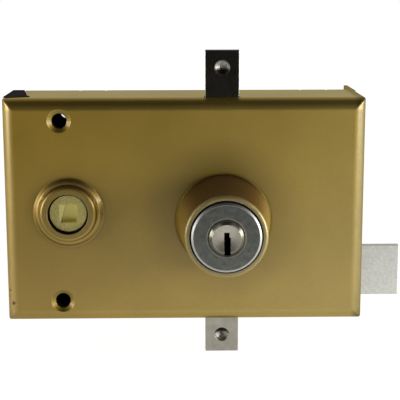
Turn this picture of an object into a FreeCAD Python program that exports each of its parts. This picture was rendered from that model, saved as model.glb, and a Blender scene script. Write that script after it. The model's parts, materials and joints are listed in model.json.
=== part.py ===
import FreeCAD, Part
import math
import os
import re

import Sketcher

# Surface-mounted multipoint lock.
# The origin lies on the door's face, at the middle of the back plate. +X points
# to the edge of the door, where the bolt comes out, +Z points up, and the front
# of the lock faces -Y. A "depth" is the distance in front of the door's face.
# The lock is drawn locked: the bolt and both rods are out.

# Driving sizes, in millimetres unless the name says otherwise.
SIZES = {
    # case
    "case_length": 140.0,
    "case_height": 88.0,
    "case_depth": 35.0,
    "sheet": 1.5,
    "bend_radius": 4.8,
    "corner_radius": 0.9,
    "lip_reach": 19.0,
    "lip_screw_radius": 2.25,
    "lip_screw_chamfer": 1.1,
    "lip_screw_spacing": 60.0,
    "lip_screw_depth": 9.5,
    "notch_corner_inset": 4.0,
    "notch_front_inset": 8.7,
    "notch_middle_inset": 13.4,
    "notch_long": 9.0,
    "notch_middle": 6.9,
    "notch_short": 3.2,
    "stop_overlap": 3.0,
    "stop_depth": 2.0,
    "tab_left_inset": 32.8,
    "tab_right_inset": 16.9,
    "tab_width": 10.6,
    "tab_slit_width": 1.0,
    "tab_slit_depth": 1.2,
    # cylinder boss
    "backset": 55.0,
    "cylinder_z": -3.5,
    "boss_height": 29.5,
    "collar_gap": 0.65,
    "boss_rim_width": 1.7,
    "boss_taper": 2.85,
    "boss_base_round": 0.6,
    "boss_rim_round": 1.2,
    # follower boss
    "follower_inset": 25.0,
    "follower_z": 0.0,
    "ring_height": 4.4,
    "ring_step_height": 1.7,
    "ring_step_width": 2.25,
    "ring_taper": 0.7,
    "ring_wall": 1.4,
    "ring_bore_gap": 0.7,
    "ring_slope": 1.6,
    "ring_foot_round": 0.8,
    "ring_edge_round": 1.4,
    # holes for the two screws through the front
    "fixing_inset": 22.0,
    "fixing_edge": 7.0,
    "fixing_hole_radius": 2.85,
    "fixing_dimple_slope": 1.75,
    "fixing_dimple_depth": 1.1,
    "sleeve_wall": 1.5,
    # inside of the case
    "back_plate_sheet": 1.5,
    "back_plate_gap": 0.2,
    "carrier_sheet": 2.0,
    "pillar_radius": 3.0,
    "pillar_left_gap": 13.0,
    "pillar_right_inset": 8.5,
    "pillar_bolt_gap": 3.0,
    "screw_radius": 1.7,
    "screw_head_radius": 2.9,
    "screw_length": 9.0,
    "thread_depth": 10.0,
    "driver_slot_width": 0.8,
    "driver_slot_depth": 0.7,
    "carrier_margin": 1.0,
    "loose_fit": 0.05,
    "overcut": 1.0,
    # key cylinder
    "collar_radius": 12.9,
    "collar_proud": 1.5,
    "collar_length": 6.8,
    "collar_chamfer": 0.7,
    "collar_mouth_chamfer": 0.6,
    "cylinder_end_gap": 1.3,
    "ear_edge": 3.5,
    "ear_height": 10.0,
    "ear_sheet": 2.8,
    "cylinder_screw_gap": 0.1,
    "cylinder_screw_radius": 1.5,
    "cylinder_screw_head_radius": 3.0,
    "cylinder_screw_head": 1.5,
    "plug_radius": 6.5,
    "plug_clearance": 0.08,
    "plug_proud": 1.7,
    "plug_chamfer": 1.2,
    "plug_chamfer_length": 1.7,
    "plug_dish": 0.4,
    "plug_neck_step": 0.9,
    "plug_clip_lap": 1.7,
    "plug_clip_sheet": 0.9,
    "keyway_width": 2.4,
    "keyway_x_offset": 0.2,
    "keyway_top": 2.4,
    "keyway_ward": 0.45,
    "keyway_ward_height": 1.8,
    "keyway_end_wall": 2.0,
    "pin_count": 5,
    "pin_pitch": 5.0,
    "pin_radius": 1.3,
    "pin_clearance": 0.06,
    "pin_front_margin": 5.0,
    "pin_gap": 0.1,
    "lower_pin_length": 5.1,
    "upper_pin_length": 2.8,
    "spring_radius": 1.2,
    "spring_bore": 0.8,
    "pin_cover_sheet": 0.8,
    "pin_cover_margin": 0.4,
    "outer_cylinder_hole_radius": 6.0,
    "outer_cylinder_screw_radius": 2.75,
    "outer_cylinder_screw_spacing": 34.0,
    # gear train
    "gear_module": 0.8,
    "drive_pinion_teeth": 10,
    "wheel_teeth": 40,
    "rack_pinion_teeth": 14,
    "follower_teeth": 28,
    "tooth_play": 0.12,
    "key_turns": 2,
    "wheel_depth": 4.5,
    "wheel_width": 4.0,
    "wheel_gap": 4.3,
    "wheel_window_radius": 2.6,
    "wheel_hub_radius": 4.0,
    "drive_shaft_radius": 3.0,
    "drive_journal_radius": 2.0,
    "drive_journal_reach": 1.5,
    "shaft_socket_depth": 3.0,
    "tailpiece_slot": 1.0,
    "tailpiece_slot_depth": 1.5,
    "shaft_bearing_wall": 1.2,
    "transfer_axle_radius": 2.0,
    "axle_shoulder_step": 1.5,
    "axle_clearance": 0.06,
    "axle_clip_width": 1.4,
    "axle_clip_sheet": 0.8,
    "clip_recess_play": 0.2,
    "clip_recess_depth": 1.2,
    "end_play": 0.3,
    # bolt
    "bolt_height": 20.6,
    "bolt_floor": 3.6,
    "bolt_width": 3.2,
    "bolt_length": 32.0,
    "bolt_throw_left": 18.0,
    "bolt_round": 0.8,
    "bolt_rivet_edge": 4.0,
    "bolt_rivet_spacing": 10.5,
    "rivet_radius": 1.5,
    "rivet_head_radius": 2.4,
    "rivet_head_sheet": 0.8,
    "tail_sheet": 2.5,
    "tail_bottom": -26.0,
    "tail_overrun": 4.0,
    "tail_lap": 8.0,
    "tail_inset_bottom": 1.9,
    "tail_inset_top": 1.1,
    "tail_shoulder_back": 12.0,
    "tail_shoulder_rise": 5.9,
    "tail_slope": 7.0,
    "rack_end_left": 4.0,
    "rack_end_right": 5.4,
    "shaft_slot_play": 0.5,
    "bolt_play": 0.15,
    "guide_wall": 1.2,
    "guide_proud": 0.9,
    "guide_flange": 1.4,
    "guide_flange_sheet": 2.0,
    "guide_post_gap": 23.0,
    "guide_post_z": -20.0,
    "guide_post_radius": 2.5,
    "guide_post_foot_radius": 2.0,
    "guide_post_column_radius": 3.5,
    "guide_post_head_radius": 4.0,
    "guide_post_head": 1.4,
    "guide_post_play": 0.1,
    "guide_post_end_play": 0.2,
    # rods
    "rod_offset": 0.4,
    "rod_width": 13.0,
    "rod_sheet": 4.0,
    "rod_front_inset": 4.7,
    "top_rod_reach": 18.1,
    "bottom_rod_reach": 14.0,
    "rod_seat_inset": 6.8,
    "rod_seat_radius": 2.5,
    "rod_seat_depth": 2.0,
    "rod_seat_point": 1.2,
    "rod_seat_chamfer": 0.4,
    "rod_slot_play": 0.5,
    "slide_sheet": 3.0,
    "slide_width": 11.0,
    "slide_overrun": 3.0,
    "rod_end_gap": 1.0,
    "rod_rivet_inset": 4.0,
    "rod_rivet_edge": 2.9,
    "bottom_rivet_inset": 2.6,
    "bottom_rivet_spacing": 5.4,
    "rail_width": 3.0,
    "rail_play": 0.2,
    # spindle hub
    "spindle_square": 7.0,
    "hub_wall": 2.5,
    "hub_step": 1.15,
    "hub_flange": 1.45,
    "hub_recess": 2.2,
    "hub_clearance": 0.06,
    "front_socket_depth": 3.0,
    "wedge_recess": 0.2,
    "wedge_foot": 0.45,
    "wedge_top": 2.45,
    "rear_socket_depth": 20.0,
    "bush_ledge": 1.35,
    "bush_length": 4.0,
    "bush_flange": 3.2,
    "spacer_wall": 2.0,
    # brake spring that keeps the bolt where it is put
    "brake_offset": 11.0,
    "brake_leaf": 0.8,
    "brake_width": 5.0,
    "brake_foot": 6.0,
    "brake_nose": 3.0,
    "brake_gap": 0.1,
    "brake_rivet_edge": 2.7,
}

# Places and sizes that follow from the driving ones.
DERIVED = {
    "right": "case_length / 2",
    "top": "case_height / 2",
    "inside_right": "right - sheet",
    "inside_top": "top - sheet",
    "front_inside": "case_depth - sheet",
    "inner_bend": "bend_radius - sheet",
    "carrier_depth": "front_inside - carrier_sheet",
    "carrier_end": "inside_top - inner_bend",
    "cylinder_x": "right - backset",
    "follower_x": "follower_inset - right",
    "fixing_x": "fixing_inset - right",
    "fixing_dimple_radius": "fixing_hole_radius + fixing_dimple_slope",
    "tab_left_x": "tab_left_inset - right",
    "tab_right_x": "right - tab_right_inset",
    "notch_corner_depth": "case_depth - notch_corner_inset",
    "notch_front_depth": "case_depth - notch_front_inset",
    "notch_middle_depth": "case_depth - notch_middle_inset",
    "boss_bore_radius": "collar_radius + collar_gap",
    "boss_rim_radius": "boss_bore_radius + boss_rim_width",
    "boss_base_radius": "boss_rim_radius + boss_taper",
    "hub_rear_radius": "spindle_square / 2 + hub_wall",
    "hub_radius": "hub_rear_radius + hub_step",
    "hub_body_radius": "hub_radius + hub_flange",
    "ring_bore_radius": "hub_radius + ring_bore_gap",
    "bush_radius": "ring_bore_radius + bush_ledge",
    "bush_flange_radius": "bush_radius + bush_flange",
    "ring_front_radius": "bush_radius + ring_wall",
    "ring_step_radius": "ring_front_radius + ring_taper",
    "ring_base_radius": "ring_step_radius + ring_step_width",
    "spacer_radius": "hub_rear_radius + spacer_wall",
    "cylinder_screw_offset": "collar_radius + cylinder_screw_head_radius + cylinder_screw_gap",
    "ear_reach": "cylinder_screw_offset + ear_edge",
    "plug_neck_radius": "plug_radius - plug_neck_step",
    "plug_clip_radius": "plug_radius + plug_clip_lap",
    "shaft_bearing_radius": "outer_cylinder_hole_radius + shaft_bearing_wall",
    "axle_shoulder_radius": "transfer_axle_radius + axle_shoulder_step",
    "axle_clip_radius": "transfer_axle_radius + axle_clip_width",
    "clip_recess_radius": "axle_clip_radius + clip_recess_play",
    "boss_front": "case_depth + boss_height",
    "ring_front": "case_depth + ring_height",
    "collar_front": "boss_front + collar_proud",
    "collar_back": "collar_front - collar_length",
    "plug_front": "collar_front + plug_proud",
    "plug_bore": "plug_radius + plug_clearance",
    "ear_depth": "carrier_depth - ear_sheet",
    "drive_pitch": "gear_module * drive_pinion_teeth / 2",
    "wheel_pitch": "gear_module * wheel_teeth / 2",
    "rack_pitch": "gear_module * rack_pinion_teeth / 2",
    "follower_pitch": "gear_module * follower_teeth / 2",
    "tooth_head": "gear_module * 0.6",
    "tooth_foot": "gear_module * 0.9",
    "transfer_z": "cylinder_z + drive_pitch + wheel_pitch",
    "travel": "2 * pi * key_turns * drive_pinion_teeth / wheel_teeth * rack_pitch",
    "wheel_front": "wheel_depth + wheel_width",
    "bolt_depth": "wheel_front + wheel_gap",
    "rod_front_depth": "case_depth - rod_front_inset",
    "slide_front": "slide_depth + slide_sheet",
    "rack_pinion_front": "slide_front - end_play",
    "cylinder_end_depth": "slide_front + cylinder_end_gap",
    "slide_depth": "rod_depth - slide_sheet",
    "rod_depth": "rod_front_depth - rod_sheet",
    "rod_x": "cylinder_x - rod_offset",
    "rod_left": "rod_x - rod_width / 2",
    "rod_right": "rod_x + rod_width / 2",
    "top_rack_x": "cylinder_x + rack_pitch",
    "bottom_rack_x": "cylinder_x - rack_pitch",
    "top_slide_right": "top_rack_x + slide_width",
    "bottom_slide_left": "bottom_rack_x - slide_width",
    "slide_end": "inside_top - rod_end_gap",
    "top_foot_bottom": "cylinder_z + collar_radius + travel + rod_end_gap",
    "bottom_foot_top": "cylinder_z - collar_radius - travel - rod_end_gap",
    "tail_depth": "bolt_depth + bolt_width",
    "bolt_rack_z": "transfer_z - rack_pitch",
    "follower_rack_z": "follower_z - follower_pitch",
    "bolt_end_x": "right + bolt_throw_left",
    "bolt_left": "bolt_end_x - bolt_length",
    "bolt_bottom": "bolt_floor - inside_top",
    "bolt_middle_z": "bolt_bottom + bolt_height / 2",
    "bolt_top": "bolt_bottom + bolt_height",
    "tail_left": "follower_x - tail_overrun",
    "tail_right": "bolt_left + tail_lap",
    "tail_front": "tail_depth + tail_sheet",
    "hub_front": "ring_front - hub_recess",
    "bush_back": "front_inside - bush_length",
    "hub_body_front": "bush_back - end_play",
    "bush_front": "ring_front - sheet",
    "plug_back": "cylinder_end_depth - plug_clip_sheet - 2 * pin_gap",
    "shaft_end": "plug_back + shaft_socket_depth",
    "first_pin_depth": "collar_back - pin_front_margin",
    "shear_line": "cylinder_z + plug_radius",
    "pin_room_top": "cylinder_z + collar_radius - 1",
    "keyway_x": "cylinder_x + keyway_x_offset",
    "pillar_z": "carrier_end - pillar_radius",
    "pillar_left_x": "follower_x + pillar_left_gap",
    "pillar_top_right_x": "inside_right - pillar_right_inset",
    "pillar_bottom_right_x": "bolt_left - ceil(travel) - pillar_radius - pillar_bolt_gap",
    "guide_post_x": "cylinder_x - guide_post_gap",
    "fixing_z": "inside_top - fixing_edge",
    "brake_x": "guide_post_x - brake_offset",
    "brake_radius": "(inside_top + tail_bottom - brake_gap) / 2",
    "brake_z": "brake_radius - inside_top",
    "brake_depth": "tail_depth + tail_sheet / 2 - brake_width / 2",
    "brake_rivet_x": "brake_x - brake_foot + brake_rivet_edge",
    "brake_rivet_depth": "tail_depth + tail_sheet / 2",
    "bolt_rivet_x": "bolt_left + bolt_rivet_edge",
    "guide_reach": "guide_wall + bolt_play",
}

PRESSURE_ANGLE = math.radians(20)
FULL_TURN = 360

document = FreeCAD.newDocument("MultipointLock")
sheet_object = document.addObject("Spreadsheet::Sheet", "Sizes")


def fill_sheet():
    for row, (name, number) in enumerate(SIZES.items(), start=1):
        sheet_object.set(f"A{row}", name)
        sheet_object.set(f"B{row}", str(number))
        sheet_object.setAlias(f"B{row}", name)
    document.recompute()


def cells(expression):
    """Writes out every named size in an expression as a cell of the sheet."""
    def replace(match):
        name = match.group()
        if name in SIZES:
            return "Sizes." + name
        if name in DERIVED:
            return "(" + cells(DERIVED[name]) + ")"
        return name
    return re.sub(r"[A-Za-z_][A-Za-z0-9_]*", replace, str(expression))


def value(expression):
    return float(sheet_object.evalExpression(cells(expression)))


def bind(target, **properties):
    """Binds properties of an object to expressions in the named sizes."""
    for name, expression in properties.items():
        target.setExpression(name.replace("__", "."), cells(expression))
    return target


# Bodies and sketches

PLANES = {"front": "XZ_Plane", "top": "XY_Plane", "side": "YZ_Plane"}


def new_body(name):
    body = document.addObject("PartDesign::Body", name)
    body.Label = name
    return body


def new_sketch(body, name, plane="front", x=None, y=None, z=None):
    """A sketch on one of the body's planes, moved along its own x, y and z."""
    sketch = body.newObject("Sketcher::SketchObject", name)
    role = PLANES[plane]
    feature = [item for item in body.Origin.OriginFeatures if item.Role == role][0]
    sketch.AttachmentSupport = [(feature, "")]
    sketch.MapMode = "FlatFace"
    for axis, expression in (("x", x), ("y", y), ("z", z)):
        if expression is not None:
            sketch.setExpression(f"AttachmentOffset.Base.{axis}", cells(expression))
    return sketch


def hold(sketch, geometry, point, place):
    """Fixes a point of a sketch at a place given as two expressions."""
    for kind, expression in zip(("DistanceX", "DistanceY"), place):
        constraint = Sketcher.Constraint(kind, -1, 1, geometry, point, value(expression))
        index = sketch.addConstraint(constraint)
        sketch.setExpression(f"Constraints[{index}]", cells(expression))


def draw_polygon(sketch, corners):
    places = [FreeCAD.Vector(value(across), value(up), 0) for across, up in corners]
    first = sketch.GeometryCount
    count = len(corners)
    for index in range(count):
        line = Part.LineSegment(places[index], places[(index + 1) % count])
        sketch.addGeometry(line, False)
    for index in range(count):
        following = first + (index + 1) % count
        sketch.addConstraint(Sketcher.Constraint("Coincident", first + index, 2, following, 1))
    for index, corner in enumerate(corners):
        hold(sketch, first + index, 1, corner)


def draw_rectangle(sketch, left, bottom, right, top):
    draw_polygon(sketch, [(left, bottom), (right, bottom), (right, top), (left, top)])


def draw_circle(sketch, across, up, radius):
    centre = FreeCAD.Vector(value(across), value(up), 0)
    circle = Part.Circle(centre, FreeCAD.Vector(0, 0, 1), value(radius))
    geometry = sketch.addGeometry(circle, False)
    hold(sketch, geometry, 3, (across, up))
    index = sketch.addConstraint(Sketcher.Constraint("Radius", geometry, value(radius)))
    sketch.setExpression(f"Constraints[{index}]", cells(radius))


def pad(body, sketch, length, name="Pad", reverse=False):
    feature = body.newObject("PartDesign::Pad", name)
    feature.Profile = sketch
    feature.Reversed = reverse
    bind(feature, Length=length)
    document.recompute()
    return feature


def pocket(body, sketch, length, name="Pocket", reverse=True):
    """Cuts a sketch into the body. On the front plane the default cut runs
    towards the front of the lock."""
    before = body.Shape.Volume
    feature = body.newObject("PartDesign::Pocket", name)
    feature.Profile = sketch
    feature.Reversed = reverse
    bind(feature, Length=length)
    document.recompute()
    if body.Shape.Volume > before - 1e-6:
        raise ValueError(f"{name} in {body.Label} cuts nothing")
    return feature


def revolve(body, sketch, name, cut=False):
    """Turns a sketch about its own vertical axis."""
    kind = "PartDesign::Groove" if cut else "PartDesign::Revolution"
    feature = body.newObject(kind, name)
    feature.Profile = sketch
    feature.ReferenceAxis = (sketch, ["V_Axis"])
    feature.Angle = FULL_TURN
    document.recompute()
    return feature


def round_edges(body, base, radius, test, name):
    edges = [f"Edge{index}" for index, edge in enumerate(base.Shape.Edges, start=1) if test(edge)]
    if not edges:
        raise ValueError(f"{name} in {body.Label} finds no edge")
    feature = body.newObject("PartDesign::Fillet", name)
    feature.Base = (base, edges)
    bind(feature, Radius=radius)
    document.recompute()
    return feature


def chamfer_edges(body, base, size, test, name):
    edges = [f"Edge{index}" for index, edge in enumerate(base.Shape.Edges, start=1) if test(edge)]
    if not edges:
        raise ValueError(f"{name} in {body.Label} finds no edge")
    feature = body.newObject("PartDesign::Chamfer", name)
    feature.Base = (base, edges)
    bind(feature, Size=size)
    document.recompute()
    return feature


def repeat_along(body, feature, sketch, axis, pitch, count):
    """Repeats a cut along an axis of its sketch, as the gaps of a rack."""
    pattern = body.newObject("PartDesign::LinearPattern", "Repeat")
    pattern.Originals = [feature]
    pattern.Direction = (sketch, [axis])
    pattern.Occurrences = count
    bind(pattern, Length=f"({pitch}) * {count - 1}")
    body.Tip = pattern
    document.recompute()
    return pattern


def same_depth(edge, depth):
    return all(abs(point.Y + depth) < 1e-4 for point in edge.Vertexes)


def circle_of(edge):
    """The circle that an edge lies on, or None. An edge at a tip has no curve."""
    if edge.Degenerated or not isinstance(edge.Curve, Part.Circle):
        return None
    return edge.Curve


def is_circle(edge, radius, depth):
    circle = circle_of(edge)
    if circle is None:
        return False
    return abs(circle.Radius - radius) < 1e-4 and abs(circle.Center.y + depth) < 1e-4


# Simple solids, with their axis along the depth

def rod(name, x, z, depth, length, radius):
    cylinder = document.addObject("Part::Cylinder", name)
    cylinder.Placement.Rotation = FreeCAD.Rotation(FreeCAD.Vector(1, 0, 0), 90)
    bind(cylinder, Radius=radius, Height=length)
    bind(cylinder, Placement__Base__x=x, Placement__Base__y=f"-({depth})", Placement__Base__z=z)
    return cylinder


def cone(name, x, z, depth, length, back_radius, front_radius):
    frustum = document.addObject("Part::Cone", name)
    frustum.Placement.Rotation = FreeCAD.Rotation(FreeCAD.Vector(1, 0, 0), 90)
    bind(frustum, Radius1=back_radius, Radius2=front_radius, Height=length)
    bind(frustum, Placement__Base__x=x, Placement__Base__y=f"-({depth})", Placement__Base__z=z)
    return frustum


def block(name, left, bottom, depth, width, height, thickness):
    box = document.addObject("Part::Box", name)
    bind(box, Length=width, Width=thickness, Height=height)
    bind(
        box,
        Placement__Base__x=left,
        Placement__Base__y=f"-({depth}) - ({thickness})",
        Placement__Base__z=bottom,
    )
    return box


def cut(name, base, tool):
    result = document.addObject("Part::Cut", name)
    result.Base = base
    result.Tool = tool
    return result


def fuse(name, *shapes):
    result = document.addObject("Part::MultiFuse", name)
    result.Shapes = list(shapes)
    result.Refine = True
    return result


def group(name, *shapes):
    result = document.addObject("Part::Compound", name)
    result.Links = list(shapes)
    return result


def tube(name, x, z, depth, length, radius, bore):
    outside = rod(name + "_outside", x, z, depth, length, radius)
    inside = rod(name + "_bore", x, z, f"({depth}) - overcut", f"({length}) + 2 * overcut", bore)
    return cut(name, outside, inside)


# Teeth

def involute_angle(radius, base_radius):
    """Angle between an involute's start and its point at a radius."""
    if radius <= base_radius:
        return 0.0
    pressure = math.acos(base_radius / radius)
    return math.tan(pressure) - pressure


def toothed_outline(teeth, first_angle):
    """Closed outline of a gear in the X-Z plane, about the origin.

    first_angle is the direction of the first tooth's middle, from +X to +Z.
    """
    module = value("gear_module")
    pitch_radius = module * teeth / 2
    base_radius = pitch_radius * math.cos(PRESSURE_ANGLE)
    tip_radius = pitch_radius + value("tooth_head")
    root_radius = pitch_radius - value("tooth_foot")
    play_angle = value("tooth_play") / 2 / pitch_radius
    pitch_half = math.pi / 2 / teeth - play_angle + involute_angle(pitch_radius, base_radius)

    def half_angle(radius):
        return pitch_half - involute_angle(radius, base_radius)

    def place(radius, angle):
        return FreeCAD.Vector(radius * math.cos(angle), 0, radius * math.sin(angle))

    middle_radius = (max(base_radius, root_radius) + tip_radius) / 2
    flank_radii = (root_radius, middle_radius, tip_radius)
    edges = []
    for tooth in range(teeth):
        middle = first_angle + tooth * 2 * math.pi / teeth
        rising = [place(radius, middle - half_angle(radius)) for radius in flank_radii]
        falling = [place(radius, middle + half_angle(radius)) for radius in reversed(flank_radii)]
        edges.append(Part.Arc(*rising).toShape())
        edges.append(Part.Arc(rising[-1], place(tip_radius, middle), falling[0]).toShape())
        edges.append(Part.Arc(*falling).toShape())
        next_middle = middle + 2 * math.pi / teeth
        next_foot = place(root_radius, next_middle - half_angle(root_radius))
        root_middle = place(root_radius, middle + math.pi / teeth)
        edges.append(Part.Arc(falling[-1], root_middle, next_foot).toShape())
    return Part.Wire(edges)


def gear_blank(name, teeth, x, z, depth, width, first_angle):
    """A solid toothed disc. Its flanks are involutes, worked out from the sheet."""
    face = Part.Face(toothed_outline(teeth, first_angle))
    gear = document.addObject("Part::Feature", name)
    gear.Shape = face.extrude(FreeCAD.Vector(0, -value(width), 0))
    gear.Placement = FreeCAD.Placement(
        FreeCAD.Vector(value(x), -value(depth), value(z)), FreeCAD.Rotation()
    )
    return gear


def cut_rack(body, across, up, first, count, depth, width, facing):
    """Cuts the gaps of a rack.

    across and up say where the pitch line of the first gap lies, first moves it
    along the rack, and facing is the side the teeth point to: top, left or right.
    """
    slope = math.tan(PRESSURE_ANGLE)
    half_pitch_gap = "(pi * gear_module / 4 + tooth_play / 2)"
    half_root = f"({half_pitch_gap} - tooth_foot * {slope})"
    over = "(tooth_head + overcut)"
    half_mouth = f"({half_pitch_gap} + {over} * {slope})"
    sign = 1 if facing in ("top", "right") else -1
    profile = [
        (f"-{half_mouth}", f"{sign} * {over}"),
        (f"-{half_root}", f"-{sign} * tooth_foot"),
        (half_root, f"-{sign} * tooth_foot"),
        (half_mouth, f"{sign} * {over}"),
    ]
    if facing == "top":
        corners = [(f"{across} + {first} + {a}", f"{up} + {b}") for a, b in profile]
        axis = "H_Axis"
    else:
        corners = [(f"{across} + {b}", f"{up} + {first} + {a}") for a, b in profile]
        axis = "V_Axis"
    sketch = new_sketch(body, "RackGap", z=depth)
    draw_polygon(sketch, corners)
    gap = pocket(body, sketch, width, name="RackGapCut")
    return repeat_along(body, gap, sketch, axis, "pi * gear_module", count)


# Case

def make_case_shell():
    body = new_body("case_shell")
    outline = new_sketch(body, "Outline")
    draw_rectangle(outline, "-(right)", "-(top)", "right", "top")
    box = pad(body, outline, "case_depth", "Box")
    front = value("case_depth")
    bends = round_edges(body, box, "bend_radius", lambda edge: same_depth(edge, front), "Bends")
    round_edges(body, bends, "corner_radius", is_case_corner, "Corners")

    hollow = new_sketch(body, "Hollow", z="-(overcut)")
    draw_rectangle(hollow, "-(inside_right)", "-(inside_top)", "inside_right", "inside_top")
    inside = pocket(body, hollow, "front_inside + overcut", "HollowCut")
    depth = value("front_inside")
    round_edges(body, inside, "inner_bend", lambda edge: same_depth(edge, depth), "InnerBends")

    lip = new_sketch(body, "Lip", plane="side", z="inside_right")
    draw_rectangle(lip, "-(bend_radius)", "-(top)", "lip_reach", "top")
    pad(body, lip, "sheet", "LipPad")

    add_cylinder_boss(body)
    add_follower_boss(body)
    for side in (-1, 1):
        add_fixing_dimple(body, f"{side} * fixing_z")
    cut_rod_slots(body)
    cut_tab_slits(body)
    cut_bolt_slot(body)
    cut_lip_holes(body)
    cut_brake_rivet_hole(body)
    return body


def is_case_corner(edge):
    """Whether an edge is one of the four that run back from the front's corners."""
    if edge.Degenerated or not isinstance(edge.Curve, Part.Line):
        return False
    start, end = (vertex.Point for vertex in edge.Vertexes)
    along = end - start
    at_corner = abs(abs(start.x) - value("right")) < 0.01 and abs(abs(start.z) - value("top")) < 0.01
    return at_corner and abs(along.y) > 1 and abs(along.x) < 0.01 and abs(along.z) < 0.01


def turned_sketch(body, name, x, z, profile):
    """A profile given as (radius, depth) pairs about an axis along the depth."""
    sketch = new_sketch(body, name, plane="top", x=x, z=z)
    draw_polygon(sketch, [(radius, f"-({depth})") for radius, depth in profile])
    return sketch


def add_cylinder_boss(body):
    """The tall boss, a tapered cup with a hole for the key cylinder's collar."""
    outside = turned_sketch(body, "BossOutside", "cylinder_x", "cylinder_z", [
        ("0", "case_depth - sheet / 2"),
        ("boss_base_radius", "case_depth - sheet / 2"),
        ("boss_base_radius", "case_depth"),
        ("boss_rim_radius", "boss_front"),
        ("0", "boss_front"),
    ])
    boss = revolve(body, outside, "Boss")
    base = (value("boss_base_radius"), value("case_depth"))
    rim = (value("boss_rim_radius"), value("boss_front"))
    foot = round_edges(body, boss, "boss_base_round", lambda edge: is_circle(edge, *base), "BossFoot")
    round_edges(body, foot, "boss_rim_round", lambda edge: is_circle(edge, *rim), "BossRim")
    inside = turned_sketch(body, "BossInside", "cylinder_x", "cylinder_z", [
        ("0", "front_inside - overcut"),
        ("boss_base_radius - sheet", "front_inside - overcut"),
        ("boss_base_radius - sheet", "case_depth"),
        ("boss_rim_radius - sheet", "boss_front - sheet"),
        ("0", "boss_front - sheet"),
    ])
    revolve(body, inside, "BossHollow", cut=True)
    bore = new_sketch(body, "BossBore", z="boss_front - sheet - overcut")
    draw_circle(bore, "cylinder_x", "cylinder_z", "boss_bore_radius")
    pocket(body, bore, "sheet + 2 * overcut", "BossBoreCut")


def add_follower_boss(body):
    """The low stepped boss round the spindle hub."""
    shoulder = "ring_base_radius - ring_slope"
    step = "case_depth + ring_step_height"
    outside = turned_sketch(body, "RingOutside", "follower_x", "follower_z", [
        ("0", "case_depth - sheet / 2"),
        ("ring_base_radius", "case_depth - sheet / 2"),
        ("ring_base_radius", "case_depth"),
        (shoulder, step),
        ("ring_step_radius", step),
        ("ring_front_radius", "ring_front"),
        ("0", "ring_front"),
    ])
    ring = revolve(body, outside, "Ring")
    base = (value("ring_base_radius"), value("case_depth"))
    rims = [
        (value(shoulder), value(step)),
        (value("ring_front_radius"), value("ring_front")),
    ]

    def rim(edge):
        return any(is_circle(edge, *circle) for circle in rims)

    foot = round_edges(body, ring, "ring_foot_round", lambda edge: is_circle(edge, *base), "RingFoot")
    round_edges(body, foot, "ring_edge_round", rim, "RingRims")
    inside = turned_sketch(body, "RingInside", "follower_x", "follower_z", [
        ("0", "front_inside - overcut"),
        ("bush_radius + loose_fit", "front_inside - overcut"),
        ("bush_radius + loose_fit", "bush_front"),
        ("0", "bush_front"),
    ])
    revolve(body, inside, "RingHollow", cut=True)
    bore = new_sketch(body, "RingBore", z="bush_front - overcut")
    draw_circle(bore, "follower_x", "follower_z", "ring_bore_radius")
    pocket(body, bore, "sheet + 2 * overcut", "RingBoreCut")


def add_fixing_dimple(body, z):
    """A countersink pressed into the sheet, with its bump on the inside."""
    inner_end = "front_inside - fixing_dimple_depth"
    bump = turned_sketch(body, "DimpleBump", "fixing_x", z, [
        ("0", inner_end),
        ("fixing_hole_radius + sheet", inner_end),
        ("fixing_dimple_radius + sheet", "front_inside + sheet / 2"),
        ("0", "front_inside + sheet / 2"),
    ])
    revolve(body, bump, "Dimple")
    mouth = turned_sketch(body, "DimpleMouth", "fixing_x", z, [
        ("0", f"{inner_end} - overcut"),
        ("fixing_hole_radius", f"{inner_end} - overcut"),
        ("fixing_hole_radius", "case_depth - fixing_dimple_depth"),
        ("fixing_dimple_radius", "case_depth"),
        ("fixing_dimple_radius", "case_depth + overcut"),
        ("0", "case_depth + overcut"),
    ])
    revolve(body, mouth, "DimpleHole", cut=True)


def cut_rod_slots(body):
    """A slot for the rod and an open corner notch in the top and bottom flanges."""
    for name, level in (("Top", "inside_top - overcut"), ("Bottom", "-(top) - overcut")):
        slot = new_sketch(body, f"{name}Slot", plane="top", z=level)
        draw_rectangle(
            slot,
            "rod_left - rod_slot_play",
            "-(rod_front_depth) - rod_slot_play",
            "rod_right + rod_slot_play",
            "-(rod_depth) + rod_slot_play",
        )
        pocket(body, slot, "sheet + 2 * overcut", f"{name}SlotCut")
        notch = new_sketch(body, f"{name}Notch", plane="top", z=level)
        draw_polygon(notch, [
            ("-(inside_right)", "-(notch_corner_depth)"),
            ("-(inside_right) + notch_long", "-(notch_front_depth)"),
            ("-(inside_right) + notch_middle", "-(notch_middle_depth)"),
            ("-(inside_right) + notch_short", "overcut"),
            ("-(inside_right)", "overcut"),
        ])
        pocket(body, notch, "sheet + 2 * overcut", f"{name}NotchCut")


def cut_tab_slits(body):
    """Pairs of slits in the flanges' back edges, on both sides of each tab."""
    slits = new_sketch(body, "TabSlits", plane="top", z="-(top) - overcut")
    for middle in ("tab_left_x", "tab_right_x"):
        for side in (-1, 1):
            across = f"{middle} + {side} * tab_width / 2"
            draw_rectangle(
                slits,
                f"{across} - tab_slit_width / 2",
                "-(tab_slit_depth)",
                f"{across} + tab_slit_width / 2",
                "overcut",
            )
    pocket(body, slits, "case_height + 2 * overcut", "TabSlitCut")


def cut_bolt_slot(body):
    slot = new_sketch(body, "BoltSlot", plane="side", z="inside_right - overcut")
    draw_bolt_section(slot, "guide_reach + loose_fit")
    pocket(body, slot, "sheet + 2 * overcut", "BoltSlotCut")


def draw_bolt_section(sketch, margin):
    """The bolt's cross-section with a margin round it."""
    draw_rectangle(
        sketch,
        f"-(tail_depth) - ({margin})",
        f"bolt_bottom - ({margin})",
        f"-(bolt_depth) + ({margin})",
        f"bolt_top + {margin}",
    )


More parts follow.
